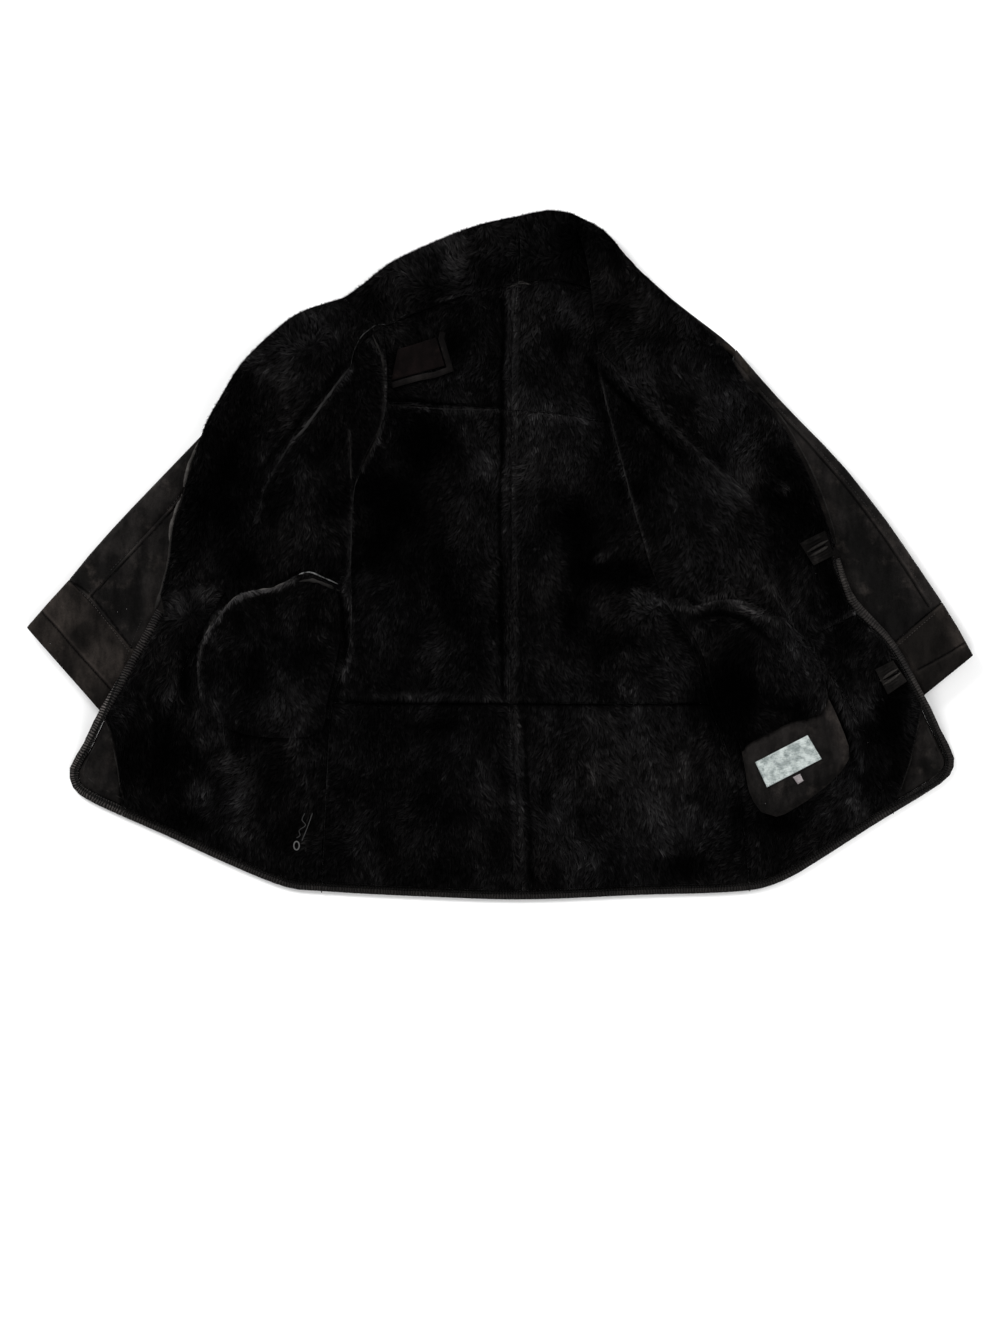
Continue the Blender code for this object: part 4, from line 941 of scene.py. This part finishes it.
def make_pile(node, hide, outline, length, material):
    """The tufts of a panel, combed and hanging together in locks, joined in one mesh."""
    roots, normals = pile_roots(node, hide)
    count = len(roots)
    flat_roots = roots[:, :2]
    lock, middles = find_locks(roots)
    away, nearest, _ = distance(flat_roots, *outline)
    outward = unit(nearest - flat_roots)
    gain = sheen_and_lie(flat_roots)
    lying = field(flat_roots, 50, 60, 4.4)
    fine = field(flat_roots, 11, 16, 2.2)
    mottle = field(flat_roots, 30, 42, 6.6) + 0.6 * field(flat_roots, 17, 25, 3.8)
    lock_angle = comb_angles(middles) + DICE.normal(0, LOCK_TURN, len(middles))
    lock_tone = DICE.normal(0, LOCK_TONE, len(middles))
    lock_rise = DICE.normal(0, LOCK_RISE, len(middles))
    angle = lock_angle[lock] + DICE.normal(0, TUFT_TURN, count)
    ragged = np.zeros(count, bool)
    ragged[near_line(flat_roots, RAGGED_LINE, RAGGED_REACH)[0]] = True
    pull = (np.exp(-away / EDGE_REACH) * np.where(ragged, *LEAN))[:, None]
    flat = unit(np.stack([np.cos(angle), np.sin(angle)], axis=1) * (1 - pull) + outward * pull)
    rise = np.clip(RISE - 0.35 * lying + 0.18 * fine - 0.16 * np.clip(gain, -1.5, 1.5) + lock_rise[lock]
                   + DICE.normal(0, TUFT_RISE, count), *RISE_LIMITS)
    long = length * MM * np.clip(LONG + 0.2 * fine + DICE.normal(0, TUFT_LONG, count), 0.5, 1.5)
    step = np.column_stack([flat * np.cos(rise)[:, None], np.zeros(count)]) + normals * np.sin(rise)[:, None]
    tips = draw_together(roots, roots + step * long[:, None], lock, len(middles))
    overhang = np.where(ragged, RAGGED_OVERHANG, PLAIN_OVERHANG) * DICE.uniform(0.2, 1.6, count)
    tips = roots + hold_back(tips - roots, outward, away + overhang)
    tips[:, 2] = np.maximum(tips[:, 2], LOWEST_TIP)
    step = tips - roots
    along = unit(step)
    side = unit(np.cross(along, DICE.normal(0, 1, (count, 3))))
    wide = (TUFT_WIDTH * np.clip(1 + DICE.normal(0, TUFT_WIDE, count), 0.6, 1.6))[:, None]
    axes = (side * wide, np.cross(along, side) * wide, step)
    mesh, heights = repeat_shape("pile_" + node, make_tuft(), roots, axes)
    # The tufts' tone: painted sheen and shade from lightness, a random tone of locks and tufts, and a little lighter
    # at a ragged edge.
    tone = lightness(flat_roots, gain) * np.exp(lock_tone[lock] + 0.35 * fine + 0.85 * mottle
                                                + DICE.normal(0, TUFT_TONE, count))
    tone = np.clip(tone * np.where(ragged, 1.15, 1.0), 0.01, 6.0)
    # Painted shade deep at each tuft's root and painted sheen towards its tip.
    write_attribute(mesh, "tone", np.repeat(tone, len(heights) // count) * np.clip(0.45 + heights * 0.9, 0, 2))
    return finish_piece("pile_" + node, mesh, [material], sharp=0)


def plan_area(node):
    """The area of a panel as it lies flat."""
    return sum(face.area * -face.normal.z for face in NODES[node].data.polygons if face.normal.z < -0.5)


def lay_out(piece, node, with_pieces=()):
    """Works out a flat panel's width from its box and plan area, narrower where it slants; nothing is kept."""
    low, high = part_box(node)
    width, length = high.x - low.x, high.y - low.y
    area = plan_area(node)
    if area < SLANTING * width * length:
        width = area / 0.5 / length


def make_hides(finishes):
    for node, length in FUR.items():
        hide, outline = make_hide(node, finishes)
        lay_out(hide, node, [make_pile(node, hide, outline, length, finishes["pile"])])


# ---- Suede ----

def seam_marks(places):
    """How deep each place is in a suede seam's groove, and how high on its lip."""
    groove, lip = np.zeros(len(places)), np.zeros(len(places))
    for curve, side in SEAM_LINES:
        near, away = near_line(places, curve, 9 * MM)
        groove[near] = np.maximum(groove[near], np.exp(-(away / GROOVE_WIDTH) ** 2))
        lip[near] = np.maximum(lip[near], np.exp(-((away * side - LIP_AWAY) / LIP_WIDTH) ** 2))
    return groove, lip


def faces_up(edge):
    return any(face.normal.z > SUEDE_TOP for face in edge.link_faces)


def make_suede(node, material, step=SUEDE_STEP, relief=0.7):
    """A suede panel: its solid with soft folds and sewn grooves in what shows of it."""
    shape = copy_of(node)
    refine(shape, step, faces_up)
    refine(shape, INNER_STEP, lambda edge: True)
    for _ in range(3):
        edges = [edge for edge in shape.edges if edge.calc_length() > SEAM_STEP and faces_up(edge)]
        places = np.array([((edge.verts[0].co + edge.verts[1].co) / 2).xy for edge in edges]).reshape(-1, 2)
        close = np.zeros(len(places), bool)
        for curve, _side in SEAM_LINES:
            close[near_line(places, curve, SEAM_REACH)[0]] = True
        chosen = [edge for edge, wanted in zip(edges, close) if wanted]
        if not chosen:
            break
        halve(shape, chosen)
    shape.normal_update()
    verts = list(shape.verts)
    places = np.array([vertex.co.xy for vertex in verts])
    facing = np.array([min(1.0, max(0.0, (vertex.normal.z - 0.2) / 0.5)) for vertex in verts])
    groove, lip = seam_marks(places)
    lift = relief * (0.9 * field(places, 38, 38, 8.8) + 0.4 * field(places, 13, 13, 2.6))
    lift += lines_sum(places, SUEDE_FOLD_LINES) * min(1.0, relief)
    lift += 0.7 * lip - 1.3 * groove
    for vertex, rise in zip(verts, lift * facing * MM):
        vertex.co.z += rise
    piece = make_piece("piece_" + node, shape, [material], node)
    write_attribute(piece.data, "groove", groove * (facing > 0.05))
    write_attribute(piece.data, "lip", lip * (facing > 0.05))
    write_attribute(piece.data, "wear_and_painted_light", spots(places, WEAR_LIGHT_AND_SHADE))
    return piece


def make_suede_parts(finishes):
    for node in SUEDE_PANELS:
        lay_out(make_suede(node, finishes["suede"], relief=0.5), node)
    for node in SLEEVES + CUFFS:
        make_suede(node, finishes["cuff" if node in CUFFS else "suede"])


def make_bindings(finishes):
    runs = runs_of(EDGE_LINE)
    for node in BINDINGS:
        shape = copy_of(node)
        refine(shape, BINDING_STEP, lambda edge: any(face.normal.z > BINDING_TOP for face in edge.link_faces))
        refine(shape, 3 * BINDING_STEP, lambda edge: True)
        shape.normal_update()
        places = np.array([vertex.co.xy for vertex in shape.verts])
        away, _, number = distance(places, EDGE_LINE[:-1], EDGE_LINE[1:])
        along = np.interp(number, np.arange(len(runs)), runs)
        across = away / (BINDING_WIDTH * MM)
        for vertex, run, inset in zip(shape.verts, along, across):
            wrinkle = noise.noise((run / (3.4 * MM), inset * 1.2, 4.0)) * WRINKLED[node]
            vertex.co += vertex.normal * (0.7 * wrinkle - 0.9 * math.exp(-((inset - BINDING_SEAM) / 0.10) ** 2)
                                          * (vertex.normal.z > BINDING_TOP)) * MM
        piece = make_piece("piece_" + node, shape, [finishes["binding"]], node)
        write_attribute(piece.data, "along", along)
        write_attribute(piece.data, "across", across)
        # Painted highlight on the binding's crown, fainter towards the bottom of the coat.
        side = np.clip((places[:, 1] + 0.42) / 0.25, 0.2, 1.0)
        write_attribute(piece.data, "wear_and_painted_light", side)
        write_attribute(piece.data, "wrinkled", np.full(len(side), WRINKLED[node]))


def make_trims(finishes):
    for node, look, slot in (("neck_patch", "patch", "patch"), ("neck_patch_rim", "patch_rim", "patch"),
                             ("buttonhole_patch_upper", "hole_patch", "suede"),
                             ("buttonhole_patch_lower", "hole_patch", "suede"),
                             ("care_label", "label", "label"), ("size_tab", "tab", "label")):
        relief = 0.35 if node != "size_tab" else 0.1
        lay_out(make_suede(node, finishes[look], step=3.0 * MM, relief=relief), node)
    ring = NODES["thread_ring"]
    ring.data.materials.clear()
    ring.data.materials.append(finishes["metal"])
    for number, (points, width, sink, look) in enumerate(WELTS):
        curve = on_coat(even_points(line_points(points), TRIM_STEP), sink * MM)
        sway = [field(curve[:, :2], WELT_SWAY_LENGTH, WELT_SWAY_LENGTH, seed) for seed in (1.9, 5.7)]
        curve[:, :2] += WELT_SWAY * np.column_stack(sway)
        make_bead("seam_welt_%02d" % number, curve, width, width * 0.8, finishes[look], uneven=0.8)
    for name, points, width, height, sink, uneven, look in RIMS:
        curve = on_coat(even_points(line_points(points), TRIM_STEP), sink * MM)
        make_bead(name, curve, width, height, finishes[look], uneven=uneven)
    for name, points, width in THREADS:
        curve = on_coat(even_points(line_points(points), THREAD_STEP), -0.6 * MM)
        make_bead(name, curve, width, width, finishes["thread"], taper=0.9, uneven=0.0)
    for number, ends in enumerate(JOINTS):
        curve = on_coat(even_points(line_points(ends), 1.5 * MM), 0.3 * MM)
        make_bead("binding_joint_%d" % number, curve, 3.0, 2.6, finishes["binding_joint"])
    for node, (start, end) in BUTTONHOLES.items():
        start, end = np.array(start, float), np.array(end, float)
        way = (end - start) / np.linalg.norm(end - start)
        across = np.array([-way[1], way[0]])
        middle = (start + end) / 2
        lines = [("%s_rib_%d" % (node, number), start + across * offset + way * RIB_TRIM, middle + across * offset,
                  end + across * offset - way * RIB_TRIM, 0.1, 2.6, 1.8, "hole_patch")
                 for number, offset in enumerate(RIB_OFFSETS)]
        lines += [("%s_lip_%d" % (node, number), start + across * offset, middle + across * offset * LIP_BULGE,
                   end + across * offset, 0.0, 3.4, 3.0, "lip") for number, offset in enumerate(LIP_OFFSETS)]
        lines += [(node + "_slit", start, middle, end, -0.6, 4.6, 1.2, "slit")]
        for name, first, second, third, sink, width, height, look in lines:
            curve = even_points(line_points([first, second, third]), THREAD_STEP)
            make_bead(name, on_coat(curve, sink * MM), width, height, finishes[look])


def sew(name, curve, spacing, size, material, lift=0.3):
    """A row of stitches along a line."""
    line = on_coat(even_points(curve, spacing * MM), -lift * MM)
    ways = unit(np.gradient(line, axis=0))
    across = np.cross(ways, np.array([0.0, 0.0, 1.0]))
    up = np.cross(across, ways)
    long, wide, high = (part * MM for part in size)
    stitch = bmesh.new()
    bmesh.ops.create_icosphere(stitch, subdivisions=1, radius=0.5)
    mesh, _ = repeat_shape(name, stitch, line, (across * wide, up * high, ways * long))
    return finish_piece(name, mesh, [material], sharp=0)


def make_stitching(finishes):
    for number, (points, spacing, look) in enumerate(STITCH_ROWS):
        sew("stitches_%d" % number, line_points(points), spacing, (spacing * 0.62, 1.0, 0.8), finishes[look])
    ways = unit(np.gradient(EDGE_LINE, axis=0))
    inset = EDGE_LINE + np.stack([-ways[:, 1], ways[:, 0]], axis=1) * BINDING_WIDTH * BINDING_SEAM * MM
    sew("binding_stitches", inset[2:-2], 3.6, (2.3, 0.9, 0.7), finishes["stitch_dark"], lift=-0.2)
    corners = np.array(LABEL, float)
    middle = corners.mean(0)
    for number in range(4):
        a, b = corners[number], corners[(number + 1) % 4]
        a, b = a + (middle - a) * LABEL_INSET, b + (middle - b) * LABEL_INSET
        sew("label_stitches_%d" % number, line_points([a, (a + b) / 2, b]), 3.0, (2.1, 0.7, 0.5),
            finishes["label_thread"], lift=0.1)
    speck = bmesh.new()
    bmesh.ops.create_icosphere(speck, subdivisions=1, radius=0.5 * MM)
    places = np.array([(x * MM, y * MM, top_at(x * MM, y * MM) + 0.3 * MM) for x, y in LINT])
    one = np.ones((len(places), 3))
    mesh, _ = repeat_shape("lint", speck, places, (one * (1, 0, 0), one * (0, 1, 0), one * (0, 0, 1)))
    finish_piece("lint", mesh, [finishes["lint"]], sharp=0)


# ---- Studio ----

def make_studio():
    floor_shape = bmesh.new()
    bmesh.ops.create_grid(floor_shape, x_segments=1, y_segments=1, size=6.0)
    mesh = bpy.data.meshes.new("floor")
    floor_shape.to_mesh(mesh)
    floor_shape.free()
    floor = bpy.data.objects.new("floor", mesh)
    floor.location.z = -0.0002
    material = bpy.data.materials.new("floor_white")
    material.use_nodes = True
    shader = material.node_tree.nodes["Principled BSDF"]
    shader.inputs["Base Color"].default_value = (0.93, 0.93, 0.93, 1.0)
    shader.inputs["Roughness"].default_value = 0.9
    floor.data.materials.append(material)
    bpy.context.scene.collection.objects.link(floor)

    world = bpy.data.worlds.new("studio")
    world.use_nodes = True
    world.node_tree.nodes["Background"].inputs["Color"].default_value = (1.0, 1.0, 1.0, 1.0)
    world.node_tree.nodes["Background"].inputs["Strength"].default_value = 0.42
    bpy.context.scene.world = world

    for name, place, size, power in (
            ("key_light", (-2.3, 2.1, 1.9), 1.5, 150.0),
            ("right_light", (2.6, 1.2, 1.7), 1.5, 75.0),
            ("low_light", (0.3, -2.8, 1.9), 1.8, 40.0)):
        data = bpy.data.lights.new(name, "AREA")
        data.shape = "SQUARE"
        data.size = size
        data.energy = power
        light = bpy.data.objects.new(name, data)
        light.location = place
        light.rotation_euler = (-Vector(place)).to_track_quat("-Z", "Y").to_euler()
        bpy.context.scene.collection.objects.link(light)

    camera_data = bpy.data.cameras.new("camera")
    camera_data.sensor_fit = "VERTICAL"
    camera_data.sensor_height = 24.0
    camera_data.lens = 24.0 * CAMERA_DISTANCE / VIEW_HEIGHT
    camera_data.clip_end = 30.0
    camera = bpy.data.objects.new("camera", camera_data)
    camera.location = (*VIEW_CENTRE, CAMERA_DISTANCE)
    bpy.context.scene.collection.objects.link(camera)
    bpy.context.scene.camera = camera
    bpy.context.scene.view_settings.view_transform = "Standard"


def main():
    finishes = {
        "pile": pile_finish(),
        "underfur": underfur_finish(),
        "suede": suede_finish("suede", (0.0030, 0.0028, 0.0027), (0.0090, 0.0080, 0.0076), (0.022, 0.0187, 0.0168)),
        "cuff": suede_finish("cuff_suede", (0.0050, 0.0043, 0.0039), (0.0135, 0.0113, 0.0100),
                             (0.026, 0.0212, 0.0184)),
        # One light suede for the edges: painted lit, painted in shade, and with a painted highlight.
        "rim": suede_finish("rim_suede", (0.035, 0.033, 0.031), (0.060, 0.056, 0.053), (0.10, 0.095, 0.09)),
        "shaded_rim": suede_finish("shaded_rim_suede", (0.007, 0.0066, 0.0062), (0.015, 0.0140, 0.0134),
                                (0.028, 0.0265, 0.025)),
        "highlit_rim": suede_finish("highlit_rim_suede", (0.10, 0.10, 0.10), (0.17, 0.17, 0.17), (0.22, 0.22, 0.22)),
        "hole_patch": suede_finish("buttonhole_suede", (0.0018, 0.0016, 0.0015), (0.0058, 0.0053, 0.0050),
                                   (0.022, 0.0200, 0.0185)),
        "shoulder": suede_finish("shoulder_suede", (0.0090, 0.0075, 0.0062), (0.0200, 0.0165, 0.0135),
                                 (0.034, 0.028, 0.023)),
        # The buttonhole lips: the patch's suede painted lighter, a highlight on their raised rolls.
        "lip": suede_finish("buttonhole_lips", (0.014, 0.013, 0.012), (0.026, 0.024, 0.022), (0.05, 0.046, 0.042)),
        "slit": plain_finish("slit_dark", (0.0008, 0.0008, 0.0008), 0.9, specular=0.0),
        "binding": binding_finish(),
        "binding_joint": plain_finish("binding_joint", (0.006, 0.0055, 0.0052), 0.6, specular=0.05),
        "patch": suede_finish("patch_suede", (0.0008, 0.0005, 0.0005), (0.0030, 0.0018, 0.0018),
                              (0.0080, 0.0050, 0.0046)),
        "patch_rim": suede_finish("patch_rim_suede", (0.0014, 0.0012, 0.0012), (0.0060, 0.0052, 0.0050),
                                  (0.0130, 0.0115, 0.0110)),
        "label": label_finish("label_satin", (0.50, 0.545, 0.53), (0.115, 0.145, 0.14)),
        "tab": label_finish("tab_satin", (0.26, 0.235, 0.235), (0.15, 0.13, 0.135)),
        "metal": plain_finish("steel_wire", (0.35, 0.35, 0.35), 0.35, metallic=1.0),
        "welt": plain_finish("seam_welt", (0.0125, 0.0120, 0.0120), 0.8, share=0.85, specular=0.05),
        "light_welt": plain_finish("light_seam_welt", (0.024, 0.0232, 0.0232), 0.8, share=0.8, specular=0.05),
        "thread": plain_finish("sewing_thread", (0.045, 0.045, 0.045), 0.6, scale=1500.0),
        "stitch_light": plain_finish("stitch_thread", (0.035, 0.031, 0.028), 0.6, scale=1500.0),
        "stitch_dark": plain_finish("stitch_thread_dark", (0.008, 0.0075, 0.007), 0.5, scale=1500.0),
        "label_thread": plain_finish("label_thread", (0.62, 0.66, 0.65), 0.5, scale=1500.0),
        "lint": plain_finish("lint_white", (0.20, 0.19, 0.19), 0.9),
    }
    make_hides(finishes)
    make_suede_parts(finishes)
    make_bindings(finishes)
    make_trims(finishes)
    make_stitching(finishes)
    make_studio()


main()
